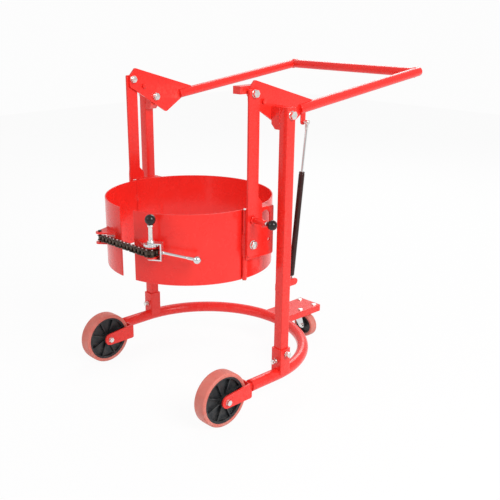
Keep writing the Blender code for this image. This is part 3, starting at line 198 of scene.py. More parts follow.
def tubeAlong(path, radius, around=40, ease=0.0012, upward=(0, 0, 1)):
    # the radius falls off over the ease at both ends
    way = waysAlong(path)
    middle = path.copy()
    middle[0] += way[0] * ease
    middle[-1] -= way[-1] * ease
    fall, rise = (each[:-1] for each in quarterEase(ease, 3))
    centres = np.vstack([path[0] + way[0] * rise[:, None], middle,
                         (path[-1] - way[-1] * rise[:, None])[::-1]])
    ways = np.vstack([np.repeat(way[:1], 3, 0), way, np.repeat(way[-1:], 3, 0)])
    radii = np.concatenate([radius - fall, np.full(len(path), radius), (radius - fall)[::-1]])
    return tubeShell(centres, ways, radii, upward, around)


def weldBead(path, radius=0.0024, pitch=0.0032):
    # a fillet bead: a tube along the seam whose radius ripples, r (1 + 0.16 sin(2 pi s / p))
    path = np.array(path, float)
    run = np.concatenate([[0], np.cumsum(np.linalg.norm(np.diff(path, axis=0), axis=1))])
    reach = np.linspace(0, run[-1], max(8, int(run[-1] / pitch * 6)))
    centres = np.stack([np.interp(reach, run, path[:, k]) for k in range(3)], -1)
    ways = waysAlong(centres)
    upward = np.where(np.abs(ways[:, 2:]) > 0.9, [[1.0, 0.0, 0.0]], [[0.0, 0.0, 1.0]])
    return tubeShell(centres, ways, radius * (1 + 0.16 * np.sin(2 * math.pi * reach / pitch)), upward, 10)


def slab(outline, low, high, ease=0.0008, steps=3):
    # an outline round its own middle, carried from low to high and eased at both faces
    outline = np.array(outline, float)
    middle = outline.mean(0)
    reach = np.linalg.norm(outline - middle, axis=1)[:, None]
    fall, rise = quarterEase(ease, steps)
    heights = np.concatenate([low + rise, (high - rise)[::-1]])
    draws = np.concatenate([fall, fall[::-1]])
    grid = np.empty((len(heights), len(outline), 3))
    grid[..., :2] = middle + (outline - middle)[None] * (1 - draws[:, None, None] / reach[None])
    grid[..., 2] = heights[:, None]
    return shell(grid)


def rectangle(halfX, halfY, ease=0.001):
    # four corners, counterclockwise, each of them rounded
    return eased([(halfX, halfY), (-halfX, halfY), (-halfX, -halfY), (halfX, -halfY)], ease, 4, True)


# Hexagon bolts. The cone that trims the corners starts at a share of the flats.
hexCone = dict(share=0.48, slope=0.55, around=60)


def coneDepth(flats):
    # how far down the corners the cone reaches
    return (flats / math.sqrt(3) - flats * hexCone["share"]) * hexCone["slope"]


def hexRadii(flats, climb):
    # the smaller of the hexagon's edge, (flats / 2) / cos(v mod 60 - 30), and the cone
    edge = flats / 2 / np.cos(turnsOf(hexCone["around"]) % (math.pi / 3) - math.pi / 6)
    return np.minimum(edge[None], (flats * hexCone["share"] + climb / hexCone["slope"])[:, None])


def hexagon(flats, low, high):
    # a bolt's head, with its full cone on top
    depth = coneDepth(flats)
    heights = np.concatenate([np.linspace(low, low + depth * 0.5, 3), np.linspace(high - depth, high, 6)])
    climb = np.minimum(high - heights, heights - low + depth * 0.7)
    return polar(hexRadii(flats, climb), heights, hexCone["around"])


def hexNut(flats, bore, low, high):
    # a hexagon outside and a plain bore inside, as one closed ring
    depth = coneDepth(flats)
    heights = np.concatenate([np.linspace(low, low + depth, 5), np.linspace(high - depth, high, 5)])
    wall = np.full((1, hexCone["around"]), bore)
    radii = np.vstack([wall, hexRadii(flats, np.minimum(high - heights, heights - low)), wall])
    return polar(radii, np.concatenate([[low], heights, [high]]), hexCone["around"], True)


def threaded(radius, low, high, pitch=0.0015, around=24, depth=0.55):
    # a helical groove: r(h, v) = R - depth p |2 frac(h / p - v / 360) - 1| / 2, run out at both ends
    heights = np.linspace(low, high, max(6, int((high - low) / pitch * 6)))
    phase = (heights[:, None] / pitch - turnsOf(around)[None] / (2 * math.pi)) % 1
    radii = radius - depth * pitch * np.abs(2 * phase - 1) / 2
    radii[[0, -1]] = radius - depth * pitch
    return polar(radii, heights, around)


def boltShells(shank, length, flats, head, nut, washer, pitch=0.0015):
    # a hexagon bolt along +Z: its washer seats on 0, the far washer and the nut at length
    washerRadius, foot = flats * 0.58, length + washer
    return [hexagon(flats, -washer - head, -washer), ringBar(shank, washerRadius, -washer, 0),
            roundBar(shank, -washer, foot, 0.0003, 24), ringBar(shank, washerRadius, length, foot),
            hexNut(flats, shank, foot, foot + nut), threaded(shank, foot, foot + nut + 0.0028, pitch)]


# degrees: faces that meet more sharply stay crisp, or are broken by a bevel, and flatter ones dissolve
edgeAngles = dict(crisp=38, bevel=42, flat=0.6)


def meshFrom(name, shells):
    points = np.vstack([each[0] for each in shells])
    firsts = np.cumsum([0] + [len(each[0]) for each in shells])
    quads, fans = (np.vstack([each[k] + first for each, first in zip(shells, firsts)]) for k in (1, 2))
    corners = np.concatenate([quads.ravel(), fans.ravel()]).astype(np.int32)
    starts = np.concatenate([4 * np.arange(len(quads)), 4 * len(quads) + 3 * np.arange(len(fans))])
    mesh = bpy.data.meshes.new(name)
    mesh.vertices.add(len(points))
    mesh.vertices.foreach_set("co", points.astype(np.float32).ravel())
    mesh.loops.add(len(corners))
    mesh.loops.foreach_set("vertex_index", corners)
    mesh.polygons.add(len(starts))
    mesh.polygons.foreach_set("loop_start", starts.astype(np.int32))
    mesh.update(calc_edges=True)
    mesh.validate()
    return mesh


def nodeOf(name):
    # frontTyreLeft is the solid front_tyre_left
    return "".join("_" + letter.lower() if letter.isupper() else letter for letter in name)


def placed(name, mesh, finish, body, node=""):
    # a finished piece: its material, its slot, the body it moves with and the solid that it stands for,
    # which is the one of the same name unless another is given
    mesh.shade_smooth()
    mesh.set_sharp_from_angle(angle=math.radians(edgeAngles["crisp"]))
    mesh.materials.append(finishes[finish])
    made = bpy.data.objects.new(name, mesh)
    bpy.context.scene.collection.objects.link(made)
    node = node or nodeOf(name)
    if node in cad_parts:
        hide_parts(node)
    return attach(made, body)


def piece(name, shells, finish, body, node=""):
    placed(name, meshFrom(name, shells), finish, body, node)


def ownerOf(body, side):
    # a body such as _wing is one of a pair
    return side + body if body.startswith("_") else body


def pieces(name, shells, finish, body):
    # a piece on the left and its mirror image on the right
    for side, made in (("left", shells), ("right", mirrored(shells))):
        piece(name + side.title(), made, finish, ownerOf(body, side))


def boltPair(name, body, place, finish="boltZinc", **spec):
    # one bolt on each side, head outwards
    pieces(name, laid(boltShells(**spec), at(*place), (-1, 0, 0)), finish, body)


def dressed(name, body, ease, finish="redPaint"):
    # plate work keeps its solid's shape, merged, with every edge broken by a small bevel
    bm = bmesh.new()
    bm.from_mesh(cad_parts[nodeOf(name)].data)
    bmesh.ops.remove_doubles(bm, verts=bm.verts, dist=0.00002)
    flat = math.radians(edgeAngles["flat"])
    bmesh.ops.dissolve_limit(bm, angle_limit=flat, verts=bm.verts, edges=bm.edges)
    mesh = bpy.data.meshes.new(name)
    bm.to_mesh(mesh)
    bm.free()
    bevel = placed(name, mesh, finish, body).modifiers.new("brokenEdges", "BEVEL")
    bevel.width = ease
    bevel.segments = 2
    bevel.limit_method = "ANGLE"
    bevel.angle_limit = math.radians(edgeAngles["bevel"])
    bevel.harden_normals = True


def dressedPair(name, body, ease):
    for side in ("left", "right"):
        dressed(name + side.title(), ownerOf(body, side), ease)


# Finishes. Effects that several share are node groups, built once.
def effectGroup(name, inputs, outputs):
    # a colour's plain value is a tuple and any other a number
    group = bpy.data.node_groups.new(name, "ShaderNodeTree")
    for way, sockets in (("INPUT", inputs), ("OUTPUT", outputs)):
        for label, value in sockets.items():
            kind = "NodeSocketColor" if isinstance(value, tuple) else "NodeSocketFloat"
            socket = group.interface.new_socket(name=label, in_out=way, socket_type=kind)
            socket.default_value = value
    return group, group.nodes.new("NodeGroupInput").outputs, group.nodes.new("NodeGroupOutput").inputs


def feed(tree, socket, value):
    # a socket takes a link or a constant
    if isinstance(value, bpy.types.NodeSocket):
        tree.links.new(value, socket)
    else:
        socket.default_value = value


def fed(tree, node, **given):
    # a node's sockets by name, with an underscore for a space
    for label, value in given.items():
        feed(tree, node.inputs[label.replace("_", " ")], value)
    return node.outputs


def noiseIn(tree, scale, detail, rough=0.55):
    # a noise on Object coordinates, so a piece keeps its pattern wherever it moves
    place = tree.nodes.new("ShaderNodeTexCoord").outputs["Object"]
    noise = tree.nodes.new("ShaderNodeTexNoise")
    return fed(tree, noise, Vector=place, Scale=scale, Detail=detail, Roughness=rough)["Fac"]


def rangeIn(tree, value, low, high, toLow=0.0, toHigh=1.0):
    spread = tree.nodes.new("ShaderNodeMapRange")
    return fed(tree, spread, Value=value, From_Min=low, From_Max=high, To_Min=toLow, To_Max=toHigh)["Result"]


def mixIn(tree, share, first, second):
    mix = tree.nodes.new("ShaderNodeMix")
    mix.data_type = "RGBA"
    for index, value in ((0, share), (6, first), (7, second)):
        feed(tree, mix.inputs[index], value)
    return mix.outputs[2]


def mathIn(tree, operation, value, *others):
    # takes in the values one after another
    for other in others:
        node = tree.nodes.new("ShaderNodeMath")
        node.operation = operation
        feed(tree, node.inputs[0], value)
        feed(tree, node.inputs[1], other)
        value = node.outputs[0]
    return value


grey = (0.5, 0.5, 0.5, 1)
toneAndMask = {"Color": grey, "Mask": 0.0}


def masked(group, result, mask, first, second):
    # the second tone over the first, by the mask
    group.links.new(mixIn(group, mask, first, second), result["Color"])
    group.links.new(mask, result["Mask"])
    return group


def buildUnevenTone():
    # broad patches between two tones, with a finer speckle on top
    group, given, result = effectGroup("unevenTone", {"Tone": grey, "Other": grey, "Patch Scale": 8.0,
                                                      "Speckle Scale": 300.0}, toneAndMask)
    patches = rangeIn(group, noiseIn(group, given["Patch Scale"], 3), 0.35, 0.65)
    speckle = rangeIn(group, noiseIn(group, given["Speckle Scale"], 2), 0.3, 0.7, 0.0, 0.35)
    both = mathIn(group, "ADD", mathIn(group, "MULTIPLY", patches, 0.65), speckle)
    return masked(group, result, mathIn(group, "MINIMUM", both, 1.0), given["Tone"], given["Other"])


def buildFloorDust():
    # dust lies thin and patchy near the ground and fades out with height
    group, given, result = effectGroup("floorDust", {"Color": grey, "Amount": 0.2, "Height": 0.2},
                                       toneAndMask)
    split = group.nodes.new("ShaderNodeSeparateXYZ")
    group.links.new(group.nodes.new("ShaderNodeTexCoord").outputs["Object"], split.inputs[0])
    low = rangeIn(group, split.outputs["Z"], 0.0, given["Height"], 1.0, 0.0)
    patches = rangeIn(group, noiseIn(group, 38.0, 5, 0.7), 0.42, 0.72)
    mask = mathIn(group, "MULTIPLY", low, patches, given["Amount"])
    return masked(group, result, mask, given["Color"], (0.55, 0.5, 0.45, 1))


def buildRubbedEdgeAndHighlight():
    # convex edges, where the surface's pointiness rises, show a paler tone in broken stretches: partly rubbed
    # wear, partly a painted highlight along the edges
    group, given, result = effectGroup("rubbedEdgeAndHighlight", {"Color": grey, "Edge Tone": grey, "Amount": 0.4},
                                       toneAndMask)
    edge = rangeIn(group, group.nodes.new("ShaderNodeNewGeometry").outputs["Pointiness"], 0.53, 0.62)
    patches = rangeIn(group, noiseIn(group, 90.0, 4, 0.65), 0.4, 0.6)
    mask = mathIn(group, "MULTIPLY", edge, patches, given["Amount"])
    return masked(group, result, mask, given["Color"], given["Edge Tone"])


def buildSkin():
    # a fine relief and the roughness that goes with it: orange peel, cast skin or plating grain, by scale
    group, given, result = effectGroup("skin", {"Scale": 400.0, "Rough Low": 0.3, "Rough High": 0.4},
                                       {"Height": 0.0, "Roughness": 0.0})
    group.links.new(noiseIn(group, given["Scale"], 3, 0.6), result["Height"])
    group.links.new(rangeIn(group, noiseIn(group, 22.0, 5, 0.6), 0.35, 0.65, given["Rough Low"],
                            given["Rough High"]), result["Roughness"])
    return group


effects = dict(tone=buildUnevenTone(), dust=buildFloorDust(), edge=buildRubbedEdgeAndHighlight(), skin=buildSkin())

# one dictionary per finish, over a plain one: tone and its patch tone, edge tone (paler: rubbed wear and a
# painted highlight on convex edges) and how much of it shows, skin, dust, then the shader's own constants
plainLook = dict(edgeShare=0.5, patches=40, speckle=900, skin=900, bump=0.05, depth=0.0004, dust=0.0,
                 metal=0.0, coat=0.0, specular=0.5)
finishLooks = {
    "redPaint": dict(
        tone=(0.9, 0.027, 0.018), patch=(0.84, 0.019, 0.014), edge=(0.95, 0.12, 0.09), patches=7,
        speckle=420, skin=620, rough=(0.22, 0.3), bump=0.025, dust=0.08, coat=0.15, specular=0.38),
    "zincPlate": dict(
        tone=(0.8, 0.8, 0.8), patch=(0.66, 0.67, 0.68), edge=(0.93, 0.93, 0.92), edgeShare=0.6,
        patches=60, skin=1500, rough=(0.22, 0.36), bump=0.08, dust=0.08, metal=1.0),
    "boltZinc": dict(
        tone=(0.88, 0.86, 0.8), patch=(0.7, 0.7, 0.7), edge=(0.97, 0.96, 0.93), edgeShare=0.6,
        patches=110, speckle=1300, skin=1800, rough=(0.2, 0.32), bump=0.08, depth=0.0003, dust=0.05,
        metal=1.0),
    "chainSteel": dict(
        tone=(0.07, 0.043, 0.03), patch=(0.026, 0.017, 0.014), edge=(0.46, 0.38, 0.27), edgeShare=0.75,
        patches=130, speckle=700, rough=(0.22, 0.42), bump=0.2, depth=0.0005, metal=0.85, coat=0.25),
    "blackKnob": dict(
        tone=(0.009, 0.006, 0.006), patch=(0.015, 0.009, 0.008), edge=(0.05, 0.04, 0.04), edgeShare=0.4,
        skin=1200, rough=(0.1, 0.18), bump=0.03, depth=0.0002, coat=0.1, specular=0.35),
    "blackCore": dict(
        tone=(0.015, 0.019, 0.023), patch=(0.009, 0.01, 0.012), edge=(0.11, 0.115, 0.12), edgeShare=0.6,
        patches=35, speckle=500, skin=700, rough=(0.34, 0.5), bump=0.25, depth=0.0006, dust=0.14,
        specular=0.38),
    "castTyre": dict(
        tone=(0.75, 0.2, 0.155), patch=(0.66, 0.155, 0.12), edge=(0.8, 0.36, 0.3), patches=26,
        speckle=320, skin=500, rough=(0.36, 0.54), bump=0.22, depth=0.0008, dust=0.42, specular=0.4),
    "cylinderPaint": dict(
        tone=(0.022, 0.006, 0.005), patch=(0.034, 0.009, 0.007), edge=(0.12, 0.07, 0.06), patches=30,
        speckle=500, skin=500, rough=(0.18, 0.28), coat=0.1, specular=0.3),
    "chrome": dict(
        tone=(0.8, 0.79, 0.78), patch=(0.7, 0.7, 0.7), edge=(0.93, 0.93, 0.92), edgeShare=0.4,
        patches=45, rough=(0.06, 0.14), bump=0.02, depth=0.0002, metal=1.0),
}


def finishFrom(name, look):
    material = bpy.data.materials.new(name)
    material.use_nodes = True
    tree = material.node_tree

    def effect(key, **given):
        node = tree.nodes.new("ShaderNodeGroup")
        node.node_tree = effects[key]
        return fed(tree, node, **given)

    tone = effect("tone", Tone=(*look["tone"], 1), Other=(*look["patch"], 1), Patch_Scale=look["patches"],
                  Speckle_Scale=look["speckle"])
    # the paler edge tone is partly rubbed wear and partly a painted highlight along convex edges
    edge = effect("edge", Color=tone["Color"], Edge_Tone=(*look["edge"], 1), Amount=look["edgeShare"])
    dust = effect("dust", Color=edge["Color"], Amount=look["dust"], Height=0.24)
    skin = effect("skin", Scale=look["skin"], Rough_Low=look["rough"][0], Rough_High=look["rough"][1])
    bump = fed(tree, tree.nodes.new("ShaderNodeBump"), Strength=look["bump"], Distance=look["depth"],
               Height=skin["Height"])
    dulled = mathIn(tree, "ADD", skin["Roughness"], mathIn(tree, "MULTIPLY", dust["Mask"], 0.4))
    fed(tree, tree.nodes["Principled BSDF"], Base_Color=dust["Color"], Roughness=dulled,
        Normal=bump["Normal"], Metallic=look["metal"], Coat_Weight=look["coat"], Coat_Roughness=0.08,
        Specular_IOR_Level=look["specular"])
    return material


finishes = {name: finishFrom(name, dict(plainLook, **look)) for name, look in finishLooks.items()}
print("finishes made:", len(finishes))

# Base frame: the bent tube, the forks, the deck and their seams
baseTube = dict(halfWidth=0.368, bendY=0.077, frontY=-0.0487, z=0.116, radius=0.0212)


def baseTubePath(halfWidth, bendY, frontY, z, radius):
    # straight, half a circle round the back, straight again
    bend = np.linspace(0, math.pi, 120)
    run = np.linspace(frontY, bendY, 8, endpoint=False)
    side = np.full_like(run, halfWidth)
    x = np.concatenate([side, halfWidth * np.cos(bend), -side])
    y = np.concatenate([run, bendY + halfWidth * np.sin(bend), run[::-1]])
    return np.stack([x, y, np.full_like(x, z)], -1) + clampAxis


bentTube = tubeAlong(baseTubePath(**baseTube), baseTube["radius"], 48)
piece("baseTube", [bentTube], "redPaint", "frame")
dressedPair("frontFork", "frame", 0.001)
dressedPair("post", "frame", 0.0012)
dressedPair("postSocket", "frame", 0.0009)
dressed("casterDeck", "frame", 0.0014)

# the posts' bosses have a bead down each side, and the tube one round its end, open where the fork covers it
seams = dict(bossX=0.3505, bossY=(0.0845, 0.1195), bossZ=(0.987, 1.0385), forkY=-0.0492, forkX=0.3742,
             forkZ=0.1265, forkBead=0.0028)
ringX, ringZ = (np.array([baseTube["halfWidth"], baseTube["z"]])
                + arcOf(baseTube["radius"], np.roll(np.linspace(0, 2 * math.pi, 73)[:-1], -12))).T
kept = (ringX < seams["forkX"]) & (ringZ < seams["forkZ"])
forkRing = np.stack([ringX, np.full_like(ringX, seams["forkY"]), ringZ], -1)[kept] + clampAxis
beads = [weldBead([at(seams["bossX"], y, z) for z in seams["bossZ"]]) for y in seams["bossY"]]
pieces("frameSeams", beads + [weldBead(forkRing, seams["forkBead"])], "redPaint", "frame")

# a set screw: a threaded shank with a lock nut against the socket and a hexagon head
screwPlaces = {"frontScrew": (at(0.368, 0.084, 0.169), (0, -1, 0)),
               "sideScrew": (at(0.386, 0.102, 0.197), (1, 0, 0))}
setScrew = dict(shank=0.0048, flats=0.017, seat=0.0053, lockNut=0.0052, neck=0.015, end=0.023)


def setScrewShells(shank, flats, seat, lockNut, neck, end):
    # a threaded shank, the lock nut on its seat and a hexagon head past the neck
    return [threaded(shank, 0.0004, neck + 0.001, 0.0013),
            hexNut(flats, shank * 0.9, seat + 0.0005, seat + lockNut), hexagon(flats, neck, end)]


for name, (place, way) in screwPlaces.items():
    pieces(name, laid(setScrewShells(**setScrew), place, way), "boltZinc", "frame")
print("base frame done")

# Lever: plates, handle tubes with the spring's upper lug, cross tube, bolts
handle = dict(x=0.311, radius=0.017, frontY=0.216, rearY=0.882, crossY=0.858, axisY=0.25, axisZ=1.022,
              slope=6.8, gap=0.0002, bead=0.0022, around=44)
upperLug = dict(y=0.238, z=0.975, radius=0.01, wall=0.006)


def handleZ(y):
    return handle["axisZ"] + math.tan(math.radians(handle["slope"])) * (y - handle["axisY"])


def onHandle(x, y):
    # points of the handle's middle plane
    x, y = np.broadcast_arrays(x, y)
    return np.stack([x, y, handleZ(y)], -1) + clampAxis


def upperLugShell(y, z, radius, wall):
    # a round-nosed plate below the tube: a half circle, then straight up to the tube's axis
    nose = np.array([y, z]) + arcOf(radius, np.linspace(math.pi, 2 * math.pi, 17))
    outline = np.vstack([nose, [(y + radius, handleZ(y)), (y - radius, handleZ(y))]])
    points, quads, fans = slab(outline, -wall / 2, wall / 2)
    return np.roll(points, 1, 1) + at(handle["x"], 0, 0), quads, fans


dressedPair("leverPlate", "lever", 0.0012)
sidePath = onHandle(handle["x"], np.linspace(handle["frontY"], handle["rearY"], 24))
sideTube = tubeAlong(sidePath, handle["radius"], handle["around"], upward=(1, 0, 0))
piece("handleTubeLeft", [sideTube, upperLugShell(**upperLug)], "redPaint", "lever")
piece("handleTubeRight", mirrored([sideTube]), "redPaint", "lever")
crossPath = onHandle(np.linspace(-handle["x"], handle["x"], 16), handle["crossY"])
crossTube = tubeAlong(crossPath, handle["radius"] - handle["gap"], handle["around"])
piece("handleCrossTube", [crossTube], "redPaint", "lever")

# the seam where two equal tubes cross: x = X - r |cos t| round the cross tube
ring = np.linspace(0, 2 * math.pi, 121)
seamRadius = handle["radius"] + handle["gap"]
crossSeam = np.stack([handle["x"] - handle["radius"] * np.abs(np.cos(ring)),
                      handle["crossY"] + seamRadius * np.cos(ring),
                      handleZ(handle["crossY"]) + seamRadius * np.sin(ring)], -1)
pieces("handleSeam", [weldBead(crossSeam + clampAxis, handle["bead"])], "redPaint", "lever")

largeBolt = dict(shank=0.008, nut=0.008, washer=0.002)
pivotBolt = dict(largeBolt, place=(0.3863, 0.102, 1.017), length=0.0796, flats=0.024, head=0.01)
hangBolt = dict(largeBolt, place=(0.3239, 0, 1.0865), length=0.0172, flats=0.022, head=0.009)
stopBolt = dict(place=(0.3153, 0.047, 1.059), shank=0.005, length=0.0086, flats=0.015, head=0.006, nut=0.006,
                washer=0.0015, pitch=0.0011)
boltPair("leverPivotBolt", "frame", **pivotBolt)
boltPair("hangBolt", "lever", **hangBolt)
boltPair("linkStopBolt", "lever", finish="redPaint", **stopBolt)
print("lever and handle done")

# Hanging links with the trunnion nuts and the index plunger
dressedPair("link", "hanger", 0.0012)
dressedPair("trunnionBracket", "clamp", 0.0008)
trunnion = dict(seat=0.3239, washer=0.002, washerRadius=0.015, flats=0.024, nut=0.009, bore=0.0088,
                thread=0.0087, root=0.316, end=0.3366, z=0.6)


def trunnionShells(seat, washer, washerRadius, flats, nut, bore, thread, root, end, z):
    # the washer and nut from the link's face, and the threaded end from its root
    nutMade = [ringBar(bore, washerRadius, 0, washer), hexNut(flats, bore, washer, washer + nut)]
    endMade = threaded(thread, 0, end - root, depth=0.35)
    return laid(nutMade, at(seat, 0, z), (1, 0, 0)), laid([endMade], at(root, 0, z), (1, 0, 0))


nutShells, endShells = trunnionShells(**trunnion)
pieces("trunnionNut", nutShells, "boltZinc", "hanger")
pieces("trunnionThread", endShells, "boltZinc", "clamp")

plunger = dict(x=0.3236, z=0.684, flats=0.0255, flange=0.006, radius=0.0099, nose=0.0086, bore=0.0063,
               length=0.058, pinRadius=0.006, pinTip=-0.0077, knobRadius=0.0165, knobX=0.0865, neck=0.0085)


def plungerShells(flats, flange, radius, nose, bore, length, pinRadius, pinTip, knobRadius, knobX, neck,
                  **others):
    # the housing's hexagon and barrel, the pin, then the knob and its neck, along +Z from the link
    barrel = [(bore, flange), (radius, flange), (radius, length - 0.0015), (nose, length), (bore, length)]
    seam = knobX - 0.012
    return ([hexNut(flats, bore, 0.0003, flange + 0.0012), turned(eased(barrel, 0.0004, 2, True), 40, True)],
            [spindle([(pinRadius, pinTip), (pinRadius, seam)])],
            [ball(knobRadius, knobX, 0.62, 26, 44),
             spindle([(neck, seam - 0.0075), (neck, seam)], around=40)])


plungerPlace = at(plunger["x"], 0, plunger["z"])
housing, pin, knob = (laid(shells, plungerPlace, (1, 0, 0)) for shells in plungerShells(**plunger))
piece("indexHousing", housing, "redPaint", "hanger")
piece("indexPin", pin, "zincPlate", "index_plunger")
piece("indexKnob", knob, "blackKnob", "index_plunger")
print("links and index plunger done")

# Clamp: the saddle behind, two wings hinged to it in front. Angles are in degrees round the clamp's axis, and
# beside the other part's knuckle the wall keeps only its inner skin.
band = dict(inner=0.291, outer=0.295, ease=0.0009)
innerSkin = dict(inner=0.291, outer=0.2919, ease=0.0002)
clamp = dict(low=0.476, high=0.716, knuckle=(0.55567, 0.63633), gap=0.0005, saddleEnd=-2.62, saddleCut=-1.5,
             wingStart=-3.01, wingCut=-4.15, wingEnds={"left": -78.1, "right": -89.3},
             wallLap=0.7, skinLap=0.2)
hinge = dict(x=0.3005, y=-0.0145, barrel=0.008, bore=0.0043)


def bandPiece(start, stop, low, high, inner, outer, ease):
    # a rectangle of wall by height carried round, x = r cos a, y = r sin a, and eased at both ends
    middle = (inner + outer) / 2
    ring = rectangle((outer - inner) / 2, (high - low) / 2, ease)
    fall, rise = (each[:-1] for each in quarterEase(ease, 3))
    rise, edge = np.degrees(rise / middle), np.degrees(ease / middle)
    steps = max(3, int((stop - start) * 1.6))
    turn = np.concatenate([start + rise, np.linspace(start + edge, stop - edge, steps), (stop - rise)[::-1]])
    draw = np.concatenate([fall, np.zeros(steps), fall[::-1]])[:, None, None]
    offset = np.sign(ring)[None] * np.maximum(np.abs(ring)[None] - draw, 0.0002)
    grid = np.empty(offset.shape[:2] + (3,))
    grid[..., :2] = arcOf(middle + offset[..., 0], np.radians(turn)[:, None])
    grid[..., 2] = (low + high) / 2 + offset[..., 1]
    return shell(grid)


def onClamp(*shells):
    return moved(shells, clampAxis)


def atHinge(*shells):
    return moved(shells, at(hinge["x"], hinge["y"], 0))


def knuckleBarrel(low, high):
    # a ring round the hinge's axis
    return atHinge(ringBar(hinge["bore"], hinge["barrel"], low, high, 0.0006, 40))


low, high, knuckle = clamp["low"], clamp["high"], clamp["knuckle"]
beside = ((low, knuckle[0] - clamp["gap"]), (knuckle[1] + clamp["gap"], high))
end, cut = clamp["saddleEnd"], clamp["saddleCut"]
saddleEnds = []
for span in beside:
    saddleEnds += onClamp(bandPiece(end, cut + clamp["wallLap"], *span, **band)) + knuckleBarrel(*span)
saddleEnds += onClamp(bandPiece(end, cut + clamp["skinLap"], beside[0][1], beside[1][0], **innerSkin))
saddleBack = onClamp(bandPiece(cut, 180 - cut, low, high, **band))
piece("saddle", saddleBack + saddleEnds + mirrored(saddleEnds), "redPaint", "clamp")
start, cut = clamp["wingStart"], clamp["wingCut"]
for side, stop in clamp["wingEnds"].items():
    wing = onClamp(bandPiece(stop, cut, low, high, **band),
                   bandPiece(cut - clamp["wallLap"], start, *knuckle, **band))
    wing += knuckleBarrel(*knuckle)
    wing += onClamp(*(bandPiece(cut - clamp["skinLap"], start, *span, **innerSkin) for span in beside))
    piece("wing" + side.title(), wing if side == "left" else mirrored(wing), "redPaint", side + "_wing")

hingePin = dict(radius=0.004, headRadius=0.0064, head=0.0035, seat=0.0002)


def hingePinShell(radius, headRadius, head, seat):
    # a bar with a head at each end
    return spindle([(headRadius, low - head), (headRadius, low - seat), (radius, low - seat),
                    (radius, high + seat), (headRadius, high + seat), (headRadius, high + head)], 0.0009)


pieces("hingePin", atHinge(hingePinShell(**hingePin)), "boltZinc", "clamp")
barrelBead = dict(x=0.2962, offset=0.007, inset=0.006, radius=0.0019, pitch=0.003)


def barrelSeam(behind, low, high, x, offset, inset, radius, pitch):
    # a bead up the outside of a barrel, behind it or before it, short of its ends
    y = hinge["y"] + behind * offset
    return weldBead([at(x, y, low + inset), at(x, y, high - inset)], radius, pitch)


saddleSeams = [barrelSeam(1, *span, **barrelBead) for span in beside]
piece("barrelSeamsSaddle", saddleSeams + mirrored(saddleSeams), "redPaint", "clamp")
pieces("barrelSeams", [barrelSeam(-1, *knuckle, **barrelBead)], "redPaint", "_wing")
print("clamp done")

# Chain closure: lugs, anchor pin, roller chain, sprocket with its ratchet wheel
chain = dict(anchor=(-0.086817, -0.323555), z=0.6, pitch=0.01905, bearing=2.341, plate=0.0086, waist=0.0019,
             inner=(0.0063, 0.0085), outer=(0.0088, 0.011), roller=0.00595, pin=0.003, head=0.0015,
             parting=6, freeLinks=11)
sprocketPlace = (0.159848, -0.294404)
pitch = chain["pitch"]
dressedPair("chainLug", "_wing", 0.0009)
lugSeams = dict(radius=0.2964, height=0.0213, left=(-74, -57), right=(-113, -97))
for side in ("left", "right"):
    arc = arcOf(lugSeams["radius"], np.radians(np.linspace(*lugSeams[side], 20)))
    beads = [weldBead([at(x, y, chain["z"] + rise) for x, y in arc], 0.0021, 0.0031)
             for rise in (-lugSeams["height"], lugSeams["height"])]
    piece("lugSeams" + side.title(), beads, "redPaint", side + "_wing")


def linkOutline():
    # h(x) = R - w (1 - cos(2 pi x / p)) / 2 between two half circles
    x = np.linspace(0, pitch, 15)[1:-1]
    height = chain["plate"] - chain["waist"] * (1 - np.cos(2 * math.pi * x / pitch)) / 2
    nose = arcOf(chain["plate"], np.linspace(-math.pi / 2, math.pi / 2, 13))
    return np.vstack([nose + np.array([pitch, 0]), np.stack([x, height], -1)[::-1], -nose,
                      np.stack([x, -height], -1)])


def linkPlates(start, stop, low, high):
    # the waisted outline as two plates, laid along the line from one roller to the next
    way = np.array(stop, float) - np.array(start, float)
    turn = Matrix.Rotation(math.atan2(way[1], way[0]), 4, "Z")
    plates = [slab(linkOutline(), *level, 0.0004, 2) for level in ((low, high), (-high, -low))]
    return moved(plates, (*start, 0), turn)


def chainRun(rollers, first):
    # inner plates and rollers for an even link, outer plates and riveted pins with low domes for an odd one
    side, reach = chain["inner"][0] + 0.0003, chain["outer"][1] + chain["head"]
    roller = ringBar(chain["pin"] + 0.0001, chain["roller"], -side, side, 0.0005, 26)
    pin = roundBar(chain["pin"], -reach, reach, 0.0009, 20)
    plates, pins, rolls = [], [], []
    for k, (start, stop) in enumerate(zip(rollers, rollers[1:])):
        outer = (first + k) % 2
        plates += linkPlates(start, stop, *chain["outer" if outer else "inner"])
        for centre in (start, stop):
            (pins if outer else rolls).extend(moved([pin if outer else roller], (*centre, 0)))
    return plates + rolls, pins


def inSpan(shells, place, bearing=chain["bearing"]):
    return moved(shells, at(*place, chain["z"]), Matrix.Rotation(math.radians(bearing), 4, "Z"))


spanWay = arcOf(1, math.radians(chain["bearing"]))
parting = np.array(chain["anchor"]) + spanWay * chain["parting"] * pitch
runs = [("Near", 0, chain["parting"], chain["anchor"], "chain_section_1"),
        ("Far", chain["parting"], chain["freeLinks"], parting, "chain_section_2")]
for name, first, last, place, node in runs:
    plates, pins = chainRun([(k * pitch, 0) for k in range(last - first + 1)], first)
    piece("chain" + name, inSpan(plates, place), "chainSteel", "chain_" + name.lower(), node)
    piece("chainPins" + name, inSpan(pins, place), "zincPlate", "chain_" + name.lower())
wound = [(-2 * pitch, -pitch), (-pitch, -pitch), *arcOf(pitch, np.radians(np.array([-90, -30, 30])))]
plates, pins = chainRun(wound, chain["freeLinks"])
piece("chainWoundEnd", inSpan(plates, sprocketPlace), "chainSteel", "chain_winder")
piece("chainPinsWound", inSpan(pins, sprocketPlace), "zincPlate", "chain_winder")
anchor = dict(foot=-0.0235, seat=0.0207, top=0.0255, head=0.006)
anchorPin = spindle([(chain["pin"], anchor["foot"]), (chain["pin"], anchor["seat"]),
                     (anchor["head"], anchor["seat"]), (anchor["head"], anchor["top"])])
